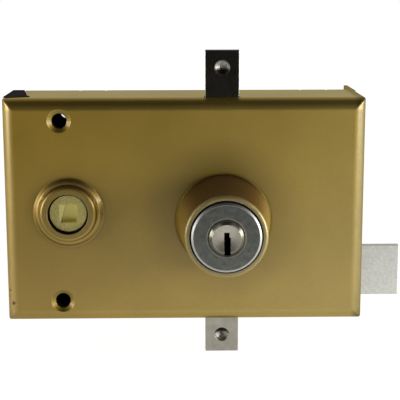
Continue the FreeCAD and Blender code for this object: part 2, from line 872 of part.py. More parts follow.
def cut_lip_holes(body):
    screws = new_sketch(body, "LipScrews", plane="side", z="inside_right - overcut")
    for side in (-1, 1):
        draw_circle(screws, "lip_screw_depth", f"{side} * lip_screw_spacing / 2", "lip_screw_radius")
    holes = pocket(body, screws, "sheet + 2 * overcut", "LipScrewHoles")

    def outer_mouth(edge):
        circle = circle_of(edge)
        if circle is None:
            return False
        same_size = abs(circle.Radius - value("lip_screw_radius")) < 1e-4
        return same_size and abs(circle.Center.x - value("right")) < 1e-4

    chamfer_edges(body, holes, "lip_screw_chamfer", outer_mouth, "LipCountersinks")


def cut_brake_rivet_hole(body):
    rivet = new_sketch(body, "BrakeRivetHole", plane="top", z="-(top) - overcut")
    draw_circle(rivet, "brake_rivet_x", "-(brake_rivet_depth)", "rivet_radius + loose_fit")
    pocket(body, rivet, "sheet + 2 * overcut", "BrakeRivetHoleCut")


PILLARS = {
    "top_left": ("pillar_left_x", "pillar_z"),
    "top_right": ("pillar_top_right_x", "pillar_z"),
    "bottom_left": ("pillar_left_x", "-(pillar_z)"),
    "bottom_right": ("pillar_bottom_right_x", "-(pillar_z)"),
}


def make_back_plate():
    body = new_body("back_plate")
    outline = new_sketch(body, "Outline")
    across = "inside_right - back_plate_gap"
    up = "inside_top - back_plate_gap"
    draw_rectangle(outline, f"-({across})", f"-({up})", across, up)
    pad(body, outline, "back_plate_sheet", "Plate")

    holes = new_sketch(body, "Holes", z="-(overcut)")
    for x, z in PILLARS.values():
        draw_circle(holes, x, z, "screw_radius + loose_fit")
    for side in (-1, 1):
        draw_circle(holes, "fixing_x", f"{side} * fixing_z", "fixing_hole_radius")
        outer_screw = f"cylinder_x + {side} * outer_cylinder_screw_spacing / 2"
        draw_circle(holes, outer_screw, "cylinder_z", "outer_cylinder_screw_radius")
    draw_circle(holes, "cylinder_x", "cylinder_z", "outer_cylinder_hole_radius")
    draw_circle(holes, "follower_x", "follower_z", "hub_rear_radius + hub_clearance")
    draw_circle(holes, "cylinder_x", "transfer_z", "transfer_axle_radius + loose_fit")
    draw_circle(holes, "guide_post_x", "guide_post_z", "guide_post_foot_radius + loose_fit")
    drilled = pocket(body, holes, "back_plate_sheet + 2 * overcut", "HolesCut")

    def screw_mouth(edge):
        return is_circle(edge, value("screw_radius + loose_fit"), 0)

    chamfer_edges(body, drilled, "screw_head_radius - screw_radius", screw_mouth, "Countersinks")
    return body


def make_pillars():
    pillars = []
    for name, (x, z) in PILLARS.items():
        length = "front_inside - back_plate_sheet"
        post = rod(f"pillar_{name}", x, z, "back_plate_sheet", length, "pillar_radius")
        thread = rod(f"thread_{name}", x, z, "back_plate_sheet - overcut", "thread_depth + overcut",
                     "screw_radius + loose_fit")
        pillars.append(cut(f"tapped_pillar_{name}", post, thread))
    return group("pillars", *pillars)


def make_back_plate_screws():
    screws = []
    for name, (x, z) in PILLARS.items():
        head = cone(f"screw_head_{name}", x, z, "loose_fit", "screw_head_radius - screw_radius",
                    "screw_head_radius", "screw_radius")
        shank = rod(f"screw_shank_{name}", x, z, "loose_fit", "screw_length", "screw_radius")
        blank = fuse(f"screw_blank_{name}", head, shank)
        slot = driver_slot(f"screw_slot_{name}", x, z, "loose_fit", "screw_head_radius")
        screws.append(cut(f"screw_{name}", blank, slot))
    return group("back_plate_screws", *screws)


def driver_slot(name, x, z, depth, radius):
    """The block that cuts a screwdriver's slot into the back of a screw's head."""
    reach = f"({radius} + overcut)"
    return block(
        name, f"{x} - {reach}", f"{z} - driver_slot_width / 2", f"{depth} - overcut",
        f"2 * {reach}", "driver_slot_width", "driver_slot_depth + overcut",
    )


def make_corner_stops():
    """Plastic blocks on the back plate that close the open corners of the flanges."""
    stops = []
    left = "-(inside_right) + loose_fit"
    width = "notch_short - 2 * loose_fit"
    edge = "top - loose_fit"
    for name, foot_z, lip_z in (
        ("top", "inside_top - stop_overlap", "inside_top"),
        ("bottom", f"-({edge})", f"-({edge})"),
    ):
        foot = block(f"stop_foot_{name}", left, foot_z, "back_plate_sheet", width,
                     f"{edge} - inside_top + stop_overlap", "stop_depth")
        lip = block(f"stop_lip_{name}", left, lip_z, "loose_fit", width,
                    f"{edge} - inside_top", "back_plate_sheet")
        stops.append(fuse(f"corner_stop_{name}", foot, lip))
    return group("corner_stops", *stops)


def make_fixing_sleeves():
    sleeves = []
    for name, side in (("top", 1), ("bottom", -1)):
        sleeves.append(tube(
            f"fixing_sleeve_{name}", "fixing_x", f"{side} * fixing_z", "back_plate_sheet",
            "front_inside - fixing_dimple_depth - back_plate_sheet",
            "fixing_hole_radius + sleeve_wall", "fixing_hole_radius",
        ))
    return group("fixing_sleeves", *sleeves)


def make_carrier_plate():
    """The plate behind the case's front that carries the key cylinder and the rails."""
    body = new_body("carrier_plate")
    outline = new_sketch(body, "Outline", z="carrier_depth")
    left = "bottom_slide_left - rail_play - rail_width - carrier_margin"
    right_low = "rod_right + rail_play + rail_width + carrier_margin"
    right_high = "top_slide_right + rail_play + rail_width + carrier_margin"
    step = "cylinder_z - ear_height"
    draw_polygon(outline, [
        (left, "-(carrier_end)"),
        (right_low, "-(carrier_end)"),
        (right_low, step),
        (right_high, step),
        (right_high, "carrier_end"),
        (left, "carrier_end"),
    ])
    pad(body, outline, "carrier_sheet", "Plate")
    holes = new_sketch(body, "Holes", z="carrier_depth - overcut")
    draw_circle(holes, "cylinder_x", "cylinder_z", "collar_radius + loose_fit")
    for side in (-1, 1):
        screw_x = f"cylinder_x + {side} * cylinder_screw_offset"
        draw_circle(holes, screw_x, "cylinder_z", "cylinder_screw_radius + loose_fit")
    pocket(body, holes, "carrier_sheet + 2 * overcut", "HolesCut")
    return body


# Key cylinder

def upright(name, x, depth, bottom, height, radius):
    """A cylinder with its axis along Z."""
    cylinder = document.addObject("Part::Cylinder", name)
    bind(cylinder, Radius=radius, Height=height)
    bind(cylinder, Placement__Base__x=x, Placement__Base__y=f"-({depth})", Placement__Base__z=bottom)
    return cylinder


def pin_depths():
    return [f"first_pin_depth - {index} * pin_pitch" for index in range(int(value("pin_count")))]


PIN_COVER_DEPTH = "(first_pin_depth - (pin_count - 1) * pin_pitch - 2 * pin_radius)"
PIN_COVER_LENGTH = "((pin_count - 1) * pin_pitch + 4 * pin_radius)"


def make_cylinder_body():
    length = "collar_back - cylinder_end_depth"
    barrel = rod("barrel", "cylinder_x", "cylinder_z", "cylinder_end_depth", length, "collar_radius")
    ears = block(
        "ears", "cylinder_x - ear_reach", "cylinder_z - ear_height / 2", "ear_depth",
        "2 * ear_reach", "ear_height", "ear_sheet",
    )
    tools = [rod("plug_bore", "cylinder_x", "cylinder_z", "cylinder_end_depth - overcut",
                 f"{length} + 2 * overcut", "plug_bore")]
    for name, side in (("left", -1), ("right", 1)):
        screw_x = f"cylinder_x + {side} * cylinder_screw_offset"
        tools.append(rod(f"ear_hole_{name}", screw_x, "cylinder_z", "ear_depth - overcut",
                         "ear_sheet + 2 * overcut", "cylinder_screw_radius + loose_fit"))
    for index, depth in enumerate(pin_depths()):
        tools.append(upright(f"pin_room_{index}", "cylinder_x", depth, "cylinder_z",
                             "collar_radius + overcut", "pin_radius + pin_clearance"))
    tools.append(block(
        "cover_groove", "cylinder_x - pin_radius - pin_cover_margin", "pin_room_top", PIN_COVER_DEPTH,
        "2 * (pin_radius + pin_cover_margin)", "collar_radius", PIN_COVER_LENGTH,
    ))
    return cut("cylinder_body", fuse("barrel_and_ears", barrel, ears), fuse("cylinder_cuts", *tools))


def make_pin_cover():
    half_width = "(pin_radius + pin_cover_margin - loose_fit)"
    return block(
        "pin_cover", f"cylinder_x - {half_width}", "pin_room_top + loose_fit",
        f"{PIN_COVER_DEPTH} + loose_fit", f"2 * {half_width}", "pin_cover_sheet",
        f"{PIN_COVER_LENGTH} - 2 * loose_fit",
    )


def make_lower_pins():
    bottom = "shear_line - pin_gap - lower_pin_length"
    return group("lower_pins", *[
        upright(f"lower_pin_{index}", "cylinder_x", depth, bottom, "lower_pin_length", "pin_radius")
        for index, depth in enumerate(pin_depths())
    ])


UPPER_PIN_BOTTOM = "shear_line + plug_clearance + pin_gap"


def make_upper_pins():
    return group("upper_pins", *[
        upright(f"upper_pin_{index}", "cylinder_x", depth, UPPER_PIN_BOTTOM, "upper_pin_length",
                "pin_radius")
        for index, depth in enumerate(pin_depths())
    ])


def make_pin_springs():
    """The springs' outer shapes: each is a short tube on its pin."""
    springs = []
    bottom = f"({UPPER_PIN_BOTTOM} + upper_pin_length + loose_fit)"
    height = f"(pin_room_top - {bottom} - loose_fit)"
    for index, depth in enumerate(pin_depths()):
        outside = upright(f"spring_outside_{index}", "cylinder_x", depth, bottom, height,
                          "spring_radius")
        inside = upright(f"spring_inside_{index}", "cylinder_x", depth, f"{bottom} - overcut",
                         f"{height} + 2 * overcut", "spring_bore")
        springs.append(cut(f"spring_{index}", outside, inside))
    return group("pin_springs", *springs)


def make_cylinder_collar():
    """The steel ring in front of the cylinder's body."""
    body = new_body("cylinder_collar")
    profile = turned_sketch(body, "Profile", "cylinder_x", "cylinder_z", [
        ("plug_bore", "collar_back"),
        ("collar_radius", "collar_back"),
        ("collar_radius", "collar_front - collar_chamfer"),
        ("collar_radius - collar_chamfer", "collar_front"),
        ("plug_bore + collar_mouth_chamfer", "collar_front"),
        ("plug_bore", "collar_front - collar_mouth_chamfer"),
    ])
    revolve(body, profile, "Collar")
    return body


def make_cylinder_plug():
    body = new_body("cylinder_plug")
    profile = turned_sketch(body, "Profile", "cylinder_x", "cylinder_z", [
        ("0", "plug_back"),
        ("plug_neck_radius", "plug_back"),
        ("plug_neck_radius", "cylinder_end_depth"),
        ("plug_radius", "cylinder_end_depth"),
        ("plug_radius", "plug_front - plug_chamfer_length"),
        ("plug_radius - plug_chamfer", "plug_front"),
        ("0", "plug_front - plug_dish"),
    ])
    revolve(body, profile, "Plug")
    socket = new_sketch(body, "ShaftSocket", z="plug_back - overcut")
    draw_circle(socket, "cylinder_x", "cylinder_z", "drive_shaft_radius + loose_fit")
    pocket(body, socket, "shaft_socket_depth + overcut", "ShaftSocketCut")

    keyway = new_sketch(body, "Keyway", z="shaft_end + keyway_end_wall")
    left = "keyway_x - keyway_width / 2"
    right = "keyway_x + keyway_width / 2"
    low = "cylinder_z - plug_radius - overcut"
    high = "cylinder_z + keyway_top"
    ward = f"{high} - keyway_ward_height"
    draw_polygon(keyway, [
        (left, low),
        (right, low),
        (right, ward),
        (f"{right} - keyway_ward", ward),
        (f"{right} - keyway_ward", high),
        (left, high),
    ])
    pocket(body, keyway, "plug_front - plug_back", "KeywayCut")

    rooms = new_sketch(body, "PinRooms", plane="top", z="cylinder_z")
    for depth in pin_depths():
        draw_circle(rooms, "cylinder_x", f"-({depth})", "pin_radius + pin_clearance")
    pocket(body, rooms, "plug_radius + overcut", "PinRoomsCut")
    return body


def make_plug_clip():
    return tube("plug_clip", "cylinder_x", "cylinder_z", "plug_back + loose_fit", "plug_clip_sheet",
                "plug_clip_radius", "plug_neck_radius + loose_fit")


def make_cylinder_screws():
    screws = []
    back = "ear_depth - cylinder_screw_head"
    for name, side in (("left", -1), ("right", 1)):
        x = f"cylinder_x + {side} * cylinder_screw_offset"
        shank = rod(f"cylinder_screw_shank_{name}", x, "cylinder_z", back,
                    f"front_inside - loose_fit - ({back})", "cylinder_screw_radius")
        head = rod(f"cylinder_screw_head_{name}", x, "cylinder_z", back, "cylinder_screw_head",
                   "cylinder_screw_head_radius")
        blank = fuse(f"cylinder_screw_blank_{name}", head, shank)
        slot = driver_slot(f"cylinder_screw_slot_{name}", x, "cylinder_z", back,
                           "cylinder_screw_head_radius")
        screws.append(cut(f"cylinder_screw_{name}", blank, slot))
    return group("cylinder_screws", *screws)


# Gear train

def make_drive_shaft():
    back = "wheel_depth - drive_journal_reach"
    journal = rod("drive_journal", "cylinder_x", "cylinder_z", back,
                  f"wheel_front + overcut - ({back})", "drive_journal_radius")
    bar = rod("drive_bar", "cylinder_x", "cylinder_z", "wheel_front",
              "shaft_end - loose_fit - wheel_front", "drive_shaft_radius")
    reach = "(drive_journal_radius + overcut)"
    slot = block("tailpiece_slot", f"cylinder_x - {reach}", "cylinder_z - tailpiece_slot / 2",
                 f"{back} - overcut", f"2 * {reach}", "tailpiece_slot",
                 "tailpiece_slot_depth + overcut")
    return cut("drive_shaft", fuse("drive_shaft_blank", journal, bar), slot)


def make_shaft_bearing():
    """A cup on the back plate. The drive shaft's rear end turns in its floor."""
    front = "wheel_depth - end_play"
    cup = rod("bearing_cup", "cylinder_x", "cylinder_z", "back_plate_sheet",
              f"{front} - back_plate_sheet", "shaft_bearing_radius")
    hollow = rod("bearing_hollow", "cylinder_x", "cylinder_z", "back_plate_sheet - overcut",
                 f"{front} - shaft_bearing_wall - back_plate_sheet + overcut",
                 "outer_cylinder_hole_radius")
    bore = rod("bearing_bore", "cylinder_x", "cylinder_z", "back_plate_sheet", front,
               "drive_journal_radius + axle_clearance")
    return cut("shaft_bearing", cup, fuse("bearing_cuts", hollow, bore))


def make_drive_pinion():
    teeth = int(value("drive_pinion_teeth"))
    gap_on_top = math.pi / 2 + math.pi / teeth
    blank = gear_blank("drive_pinion_blank", teeth, "cylinder_x", "cylinder_z", "wheel_depth",
                       "wheel_width - loose_fit", gap_on_top)
    bore = rod("drive_pinion_bore", "cylinder_x", "cylinder_z", "wheel_depth - overcut",
               "wheel_width + 2 * overcut", "drive_journal_radius")
    return cut("drive_pinion", blank, bore)


WHEEL_WINDOWS = 6


def make_transfer_wheel():
    teeth = int(value("wheel_teeth"))
    tooth_at_bottom = -math.pi / 2
    blank = gear_blank("transfer_wheel_blank", teeth, "cylinder_x", "transfer_z", "wheel_depth",
                       "wheel_width", tooth_at_bottom)
    through = ("wheel_depth - overcut", "wheel_width + 2 * overcut")
    tools = [rod("transfer_wheel_bore", "cylinder_x", "transfer_z", *through, "wheel_hub_radius")]
    middle_radius = "(wheel_pitch + rack_pitch) / 2"
    for index in range(WHEEL_WINDOWS):
        angle = FULL_TURN * index / WHEEL_WINDOWS
        x = f"cylinder_x + {middle_radius} * cos({angle})"
        z = f"transfer_z + {middle_radius} * sin({angle})"
        tools.append(rod(f"wheel_window_{index}", x, z, *through, "wheel_window_radius"))
    return cut("transfer_wheel", blank, fuse("wheel_cuts", *tools))


def make_rack_pinion():
    """The long pinion that drives the racks, with the hub that the wheel sits on."""
    teeth = int(value("rack_pinion_teeth"))
    back = "(wheel_front + end_play)"
    first_tooth = 0.0
    blank = gear_blank("rack_pinion_blank", teeth, "cylinder_x", "transfer_z", back,
                       f"rack_pinion_front - {back}", first_tooth)
    hub = rod("rack_pinion_hub", "cylinder_x", "transfer_z", "wheel_depth", f"{back} - wheel_depth",
              "wheel_hub_radius")
    bore = rod("rack_pinion_bore", "cylinder_x", "transfer_z", "wheel_depth - overcut",
               "rack_pinion_front", "transfer_axle_radius + axle_clearance")
    recess = rod("clip_recess", "cylinder_x", "transfer_z", "rack_pinion_front - clip_recess_depth",
                 "clip_recess_depth + overcut", "clip_recess_radius")
    return cut("rack_pinion", fuse("rack_pinion_solid", blank, hub), fuse("rack_pinion_cuts", bore, recess))


def make_transfer_axle():
    pin = rod("transfer_pin", "cylinder_x", "transfer_z", "0", "rack_pinion_front",
              "transfer_axle_radius")
    shoulder = rod("transfer_shoulder", "cylinder_x", "transfer_z", "back_plate_sheet",
                   "wheel_depth - back_plate_sheet - end_play", "axle_shoulder_radius")
    return fuse("transfer_axle", pin, shoulder)


def make_axle_clip():
    depth = "rack_pinion_front - (clip_recess_depth + axle_clip_sheet) / 2"
    return tube("axle_clip", "cylinder_x", "transfer_z", depth, "axle_clip_sheet",
                "axle_clip_radius", "transfer_axle_radius")


# Bolt

BOLT_RIVETS = {
    "top": "bolt_middle_z + bolt_rivet_spacing / 2",
    "bottom": "bolt_middle_z - bolt_rivet_spacing / 2",
}


def rack_gaps():
    """The gaps that a rack needs for the whole travel and the teeth at its ends."""
    return round(value("travel / (pi * gear_module)")) + 3


def pinion_phase(turn):
    """How far, as a share of the pitch, the rack pinion's teeth lie past a point
    that is this share of a turn away from its first tooth."""
    return value("rack_pinion_teeth") * turn % 1


def make_bolt_head():
    body = new_body("bolt_head")
    outline = new_sketch(body, "Outline", z="bolt_depth")
    draw_rectangle(outline, "bolt_left", "bolt_bottom", "bolt_end_x", "bolt_top")
    bar = pad(body, outline, "bolt_width", "Bar")
    end = value("bolt_end_x")

    def at_outer_end(edge):
        return all(abs(point.X - end) < 1e-4 for point in edge.Vertexes)

    round_edges(body, bar, "bolt_round", at_outer_end, "EndRounds")
    holes = new_sketch(body, "RivetHoles", z="bolt_depth - overcut")
    for z in BOLT_RIVETS.values():
        draw_circle(holes, "bolt_rivet_x", z, "rivet_radius")
    pocket(body, holes, "bolt_width + 2 * overcut", "RivetHolesCut")
    return body


def make_bolt_tail():
    """The plate behind the bolt's head, with a rack for the pinion and one for
    the spindle hub's gear."""
    body = new_body("bolt_tail")
    outline = new_sketch(body, "Outline", z="tail_depth")
    rack_left = "cylinder_x - rack_end_left"
    rack_right = "cylinder_x + travel + rack_end_right"
    draw_polygon(outline, [
        ("tail_left", "tail_bottom"),
        ("bolt_left", "tail_bottom"),
        ("bolt_left", "bolt_bottom + tail_inset_bottom"),
        ("tail_right", "bolt_bottom + tail_inset_bottom"),
        ("tail_right", "bolt_top - tail_inset_top"),
        ("bolt_left - tail_shoulder_back", "bolt_top + tail_shoulder_rise"),
        (rack_right, "bolt_rack_z + tooth_head"),
        (rack_left, "bolt_rack_z + tooth_head"),
        (f"{rack_left} - tail_slope", "follower_rack_z + tooth_head"),
        ("tail_left", "follower_rack_z + tooth_head"),
    ])
    pad(body, outline, "tail_sheet", "Plate")

    slots = new_sketch(body, "Slots", z="tail_depth - overcut")
    draw_travel_slot(slots, "cylinder_x", "cylinder_z", "drive_shaft_radius + shaft_slot_play")
    draw_travel_slot(slots, "guide_post_x", "guide_post_z", "guide_post_radius + guide_post_play")
    for z in BOLT_RIVETS.values():
        draw_circle(slots, "bolt_rivet_x", z, "rivet_radius")
    through = ("tail_depth - overcut", "tail_sheet + 2 * overcut")
    pocket(body, slots, through[1], "SlotsCut")

    pitch = "pi * gear_module"
    first_gap = f"{pinion_phase(1 / 4) - 1} * {pitch}"
    cut_rack(body, "cylinder_x", "bolt_rack_z", first_gap, rack_gaps(), *through, "top")
    cut_rack(body, "follower_x", "follower_rack_z", f"-1 * {pitch}", rack_gaps(), *through, "top")
    return body


def draw_travel_slot(sketch, x, z, half_height):
    """A slot that lets something fixed stay where it is while the bolt is drawn in."""
    draw_rectangle(
        sketch,
        f"{x} - ({half_height})",
        f"{z} - ({half_height})",
        f"{x} + travel + {half_height}",
        f"{z} + {half_height}",
    )


def make_bolt_rivets():
    rivets = []
    for name, z in BOLT_RIVETS.items():
        shank = rod(f"bolt_rivet_shank_{name}", "bolt_rivet_x", z, "bolt_depth + loose_fit",
                    "tail_front - bolt_depth", "rivet_radius")
        head = rod(f"bolt_rivet_head_{name}", "bolt_rivet_x", z, "tail_front", "rivet_head_sheet",
                   "rivet_head_radius")
        rivets.append(fuse(f"bolt_rivet_{name}", shank, head))
    return group("bolt_rivets", *rivets)


def make_bolt_guide():
    """The liner in the case's slot that the bolt slides through."""
    body = new_body("bolt_guide")
    flange = new_sketch(body, "Flange", plane="side", z="inside_right - guide_flange_sheet")
    draw_bolt_section(flange, "guide_reach + guide_flange")
    pad(body, flange, "guide_flange_sheet", "FlangePad")
    nose = new_sketch(body, "Nose", plane="side", z="inside_right - guide_flange_sheet")
    draw_bolt_section(nose, "guide_reach")
    length = "guide_flange_sheet + sheet + guide_proud"
    pad(body, nose, length, "NosePad")
    mouth = new_sketch(body, "Mouth", plane="side", z="inside_right - guide_flange_sheet - overcut")
    draw_bolt_section(mouth, "bolt_play")
    pocket(body, mouth, f"{length} + 2 * overcut", "MouthCut")
    return body


def make_guide_post():
    """The shouldered post that the bolt's tail runs on, riveted to the back plate."""
    x = "guide_post_x"
    z = "guide_post_z"
    shoulder = "(tail_depth - guide_post_end_play)"
    head_back = "(tail_front + guide_post_end_play)"
    foot = rod("post_foot", x, z, "0", "back_plate_sheet + overcut", "guide_post_foot_radius")
    column = rod("post_column", x, z, "back_plate_sheet", f"{shoulder} - back_plate_sheet",
                 "guide_post_column_radius")
    neck = rod("post_neck", x, z, f"{shoulder} - overcut", f"{head_back} - {shoulder} + 2 * overcut",
               "guide_post_radius")
    head = rod("post_head", x, z, head_back, "guide_post_head", "guide_post_head_radius")
    return fuse("guide_post", foot, column, neck, head)


def make_brake_spring():
    """A bent leaf that stands on the case's floor and bears on the bolt's tail."""
    curl = tube("brake_curl", "brake_x", "brake_z", "brake_depth", "brake_width", "brake_radius",
                "brake_radius - brake_leaf")
    reach = "(brake_radius + overcut)"
    left_half = block("brake_left_half", f"brake_x - {reach}", f"brake_z - {reach}",
                      "brake_depth - overcut", reach, f"2 * {reach}", "brake_width + 2 * overcut")
    bow = cut("brake_bow", curl, left_half)
    foot = block("brake_foot_leaf", "brake_x - brake_foot", "-(inside_top)", "brake_depth",
                 "brake_foot", "brake_leaf", "brake_width")
    nose = block("brake_nose_leaf", "brake_x - brake_nose", "tail_bottom - brake_gap - brake_leaf",
                 "brake_depth", "brake_nose", "brake_leaf", "brake_width")
    hole = upright("brake_rivet_hole", "brake_rivet_x", "brake_rivet_depth", "-(top)",
                   "sheet + brake_leaf + overcut", "rivet_radius + loose_fit")
    return cut("brake_spring", fuse("brake_blank", bow, foot, nose), hole)


def make_brake_rivet():
    shank = upright("brake_rivet_shank", "brake_rivet_x", "brake_rivet_depth", "-(top)",
                    "sheet + brake_leaf + loose_fit", "rivet_radius")
    head = upright("brake_rivet_head", "brake_rivet_x", "brake_rivet_depth",
                   "-(inside_top) + brake_leaf", "rivet_head_sheet", "rivet_head_radius")
    return fuse("brake_rivet", shank, head)


# Rods

TOP_RIVETS = (
    ("top_slide_right - rod_rivet_inset", "top_foot_bottom + rod_rivet_edge"),
    ("top_slide_right - rod_rivet_inset", "slide_end - rod_rivet_edge"),
)
BOTTOM_RIVETS = (
    ("bottom_slide_left + bottom_rivet_inset", "(bottom_foot_top - slide_end) / 2"),
    ("bottom_slide_left + bottom_rivet_inset + bottom_rivet_spacing", "(bottom_foot_top - slide_end) / 2"),
)


def make_rod_end(name, corners, seat_z, rivet_places):
    """The bar that comes out of the case, with a drilled seat for its rod's screw."""
    body = new_body(name)
    outline = new_sketch(body, "Outline", z="rod_depth")
    draw_polygon(outline, corners)
    pad(body, outline, "rod_sheet", "Bar")
    holes = new_sketch(body, "RivetHoles", z="rod_depth - overcut")
    for x, z in rivet_places:
        draw_circle(holes, x, z, "rivet_radius")
    pocket(body, holes, "rod_sheet + 2 * overcut", "RivetHolesCut")
    mouth = "rod_seat_radius + rod_seat_chamfer"
    seat = turned_sketch(body, "Seat", "rod_x", seat_z, [
        ("0", "rod_front_depth - rod_seat_depth - rod_seat_point"),
        ("rod_seat_radius", "rod_front_depth - rod_seat_depth"),
        ("rod_seat_radius", "rod_front_depth - rod_seat_chamfer"),
        (mouth, "rod_front_depth"),
        (mouth, "rod_front_depth + overcut"),
        ("0", "rod_front_depth + overcut"),
    ])
    revolve(body, seat, "SeatCut", cut=True)
    return body


def make_top_rod_end():
    tip = "top + top_rod_reach"
    corners = [
        ("rod_left", "top_foot_bottom"),
        ("top_slide_right", "top_foot_bottom"),
        ("top_slide_right", "slide_end"),
        ("rod_right", "slide_end"),
        ("rod_right", tip),
        ("rod_left", tip),
    ]
    return make_rod_end("top_rod_end", corners, f"{tip} - rod_seat_inset", TOP_RIVETS)


def make_bottom_rod_end():
    tip = "-(top) - bottom_rod_reach"
    corners = [
        ("rod_left", tip),
        ("rod_right", tip),
        ("rod_right", "bottom_foot_top"),
        ("bottom_slide_left", "bottom_foot_top"),
        ("bottom_slide_left", "-(slide_end)"),
        ("rod_left", "-(slide_end)"),
    ]
    return make_rod_end("bottom_rod_end", corners, f"{tip} + rod_seat_inset", BOTTOM_RIVETS)


def make_slide(name, left, right, bottom, top, rack, rivet_places):
    """The toothed plate behind a rod's end."""
    body = new_body(name)
    outline = new_sketch(body, "Outline", z="slide_depth")
    draw_rectangle(outline, left, bottom, right, top)
    pad(body, outline, "slide_sheet", "Plate")
    through = ("slide_depth - overcut", "slide_sheet + 2 * overcut")
    holes = new_sketch(body, "RivetHoles", z=through[0])
    for x, z in rivet_places:
        draw_circle(holes, x, z, "rivet_radius")
    pocket(body, holes, through[1], "RivetHolesCut")
    across, first_gap, facing = rack
    cut_rack(body, across, "transfer_z", first_gap, rack_gaps(), *through, facing)
    return body


def make_top_slide():
    rack = ("top_rack_x", "-1 * pi * gear_module", "left")
    return make_slide("top_slide", "top_rack_x - tooth_head", "top_slide_right",
                      "transfer_z - slide_overrun", "slide_end", rack, TOP_RIVETS)


def make_bottom_slide():
    first_gap = f"{pinion_phase(1 / 2) + 2 - rack_gaps()} * pi * gear_module"
    rack = ("bottom_rack_x", first_gap, "right")
    return make_slide("bottom_slide", "bottom_slide_left", "bottom_rack_x + tooth_head",
                      "-(slide_end)", "transfer_z + slide_overrun", rack, BOTTOM_RIVETS)


def make_rod_rivets(name, places):
    rivets = []
    for index, (x, z) in enumerate(places):
        shank = rod(f"{name}_shank_{index}", x, z, "slide_depth - loose_fit",
                    "slide_sheet + rod_sheet + 2 * loose_fit", "rivet_radius")
        back = rod(f"{name}_back_{index}", x, z, "slide_depth - rivet_head_sheet", "rivet_head_sheet",
                   "rivet_head_radius")
        front = rod(f"{name}_front_{index}", x, z, "rod_front_depth", "rivet_head_sheet",
                    "rivet_head_radius")
        rivets.append(fuse(f"{name}_{index}", shank, back, front))
    return group(name, *rivets)


def make_rails(name, lefts, bottom, top):
    rails = []
    for index, left in enumerate(lefts):
        rails.append(block(f"{name}_{index}", left, bottom, "rod_depth + rail_play", "rail_width",
                           f"{top} - ({bottom})", "carrier_depth - rod_depth - rail_play"))
    return group(name, *rails)


def make_top_rails():
    lefts = ("rod_left - rail_play - rail_width", "top_slide_right + rail_play")
    return make_rails("top_rails", lefts, "top_foot_bottom - travel", "carrier_end")


def make_bottom_rails():
    lefts = ("bottom_slide_left - rail_play - rail_width", "rod_right + rail_play")
    return make_rails("bottom_rails", lefts, "-(carrier_end)", "bottom_foot_top + travel")


# Spindle hub

def make_follower_hub():
    x = "follower_x"
    z = "follower_z"
    rear = rod("hub_rear", x, z, "end_play", "tail_front - end_play", "hub_rear_radius")
    middle = rod("hub_middle", x, z, "tail_front", "hub_body_front - tail_front", "hub_body_radius")
    front = rod("hub_front", x, z, "hub_body_front", "hub_front - hub_body_front", "hub_radius")
    left = f"{x} - spindle_square / 2"
    bottom = f"{z} - spindle_square / 2"
    front_socket = block("front_socket", left, bottom, "hub_front - front_socket_depth",
                         "spindle_square", "spindle_square", "front_socket_depth + overcut")
    rear_socket = block("rear_socket", left, bottom, "-(overcut)", "spindle_square",
                        "spindle_square", "rear_socket_depth + overcut")
    return cut("follower_hub", fuse("hub_blank", rear, middle, front),
               fuse("hub_sockets", front_socket, rear_socket))


def make_follower_gear():
    teeth = int(value("follower_teeth"))
    tooth_at_bottom = -math.pi / 2
    blank = gear_blank("follower_gear_blank", teeth, "follower_x", "follower_z", "tail_depth",
                       "tail_sheet", tooth_at_bottom)
    bore = rod("follower_gear_bore", "follower_x", "follower_z", "tail_depth - overcut",
               "tail_sheet + 2 * overcut", "hub_rear_radius")
    return cut("follower_gear", blank, bore)


def make_socket_wedge():
    """The wedge at the left of the front socket, which leaves a slanted side."""
    body = new_body("socket_wedge")
    back = "hub_front - front_socket_depth"
    outline = new_sketch(body, "Outline", z=back)
    left = "follower_x - spindle_square / 2 + loose_fit"
    reach = "(spindle_square / 2 - loose_fit)"
    draw_polygon(outline, [
        (left, f"follower_z - {reach}"),
        (f"{left} + wedge_foot", f"follower_z - {reach}"),
        (f"{left} + wedge_top", f"follower_z + {reach}"),
        (left, f"follower_z + {reach}"),
    ])
    pad(body, outline, "front_socket_depth - wedge_recess", "Wedge")
    return body


def make_follower_bush():
    bore = "hub_radius + hub_clearance"
    nose = tube("bush_nose", "follower_x", "follower_z", "bush_back",
                "bush_front - bush_back - loose_fit", "bush_radius", bore)
    flange = tube("bush_flange", "follower_x", "follower_z", "bush_back",
                  "front_inside - bush_back", "bush_flange_radius", bore)
    return fuse("follower_bush", nose, flange)


def make_follower_spacer():
    return tube("follower_spacer", "follower_x", "follower_z", "back_plate_sheet",
                "tail_depth - back_plate_sheet - end_play", "spacer_radius",
                "hub_rear_radius + hub_clearance")


def make_parts():
    return [
        make_case_shell(),
        make_back_plate(),
        make_pillars(),
        make_back_plate_screws(),
        make_corner_stops(),
        make_fixing_sleeves(),
        make_carrier_plate(),
        make_cylinder_body(),
        make_cylinder_collar(),
        make_cylinder_screws(),
        make_pin_cover(),
        make_upper_pins(),
        make_pin_springs(),
        make_lower_pins(),
        make_cylinder_plug(),
        make_plug_clip(),
        make_drive_shaft(),
        make_shaft_bearing(),
        make_drive_pinion(),
        make_transfer_wheel(),
        make_rack_pinion(),
        make_transfer_axle(),
        make_axle_clip(),
        make_bolt_head(),
        make_bolt_tail(),
        make_bolt_rivets(),
        make_bolt_guide(),
        make_guide_post(),
        make_brake_spring(),
        make_brake_rivet(),
        make_top_rod_end(),
        make_top_slide(),
        make_rod_rivets("top_rod_rivets", TOP_RIVETS),
        make_bottom_rod_end(),
        make_bottom_slide(),
        make_rod_rivets("bottom_rod_rivets", BOTTOM_RIVETS),
        make_top_rails(),
        make_bottom_rails(),
        make_follower_hub(),
        make_follower_gear(),
        make_socket_wedge(),
        make_follower_bush(),
        make_follower_spacer(),
    ]


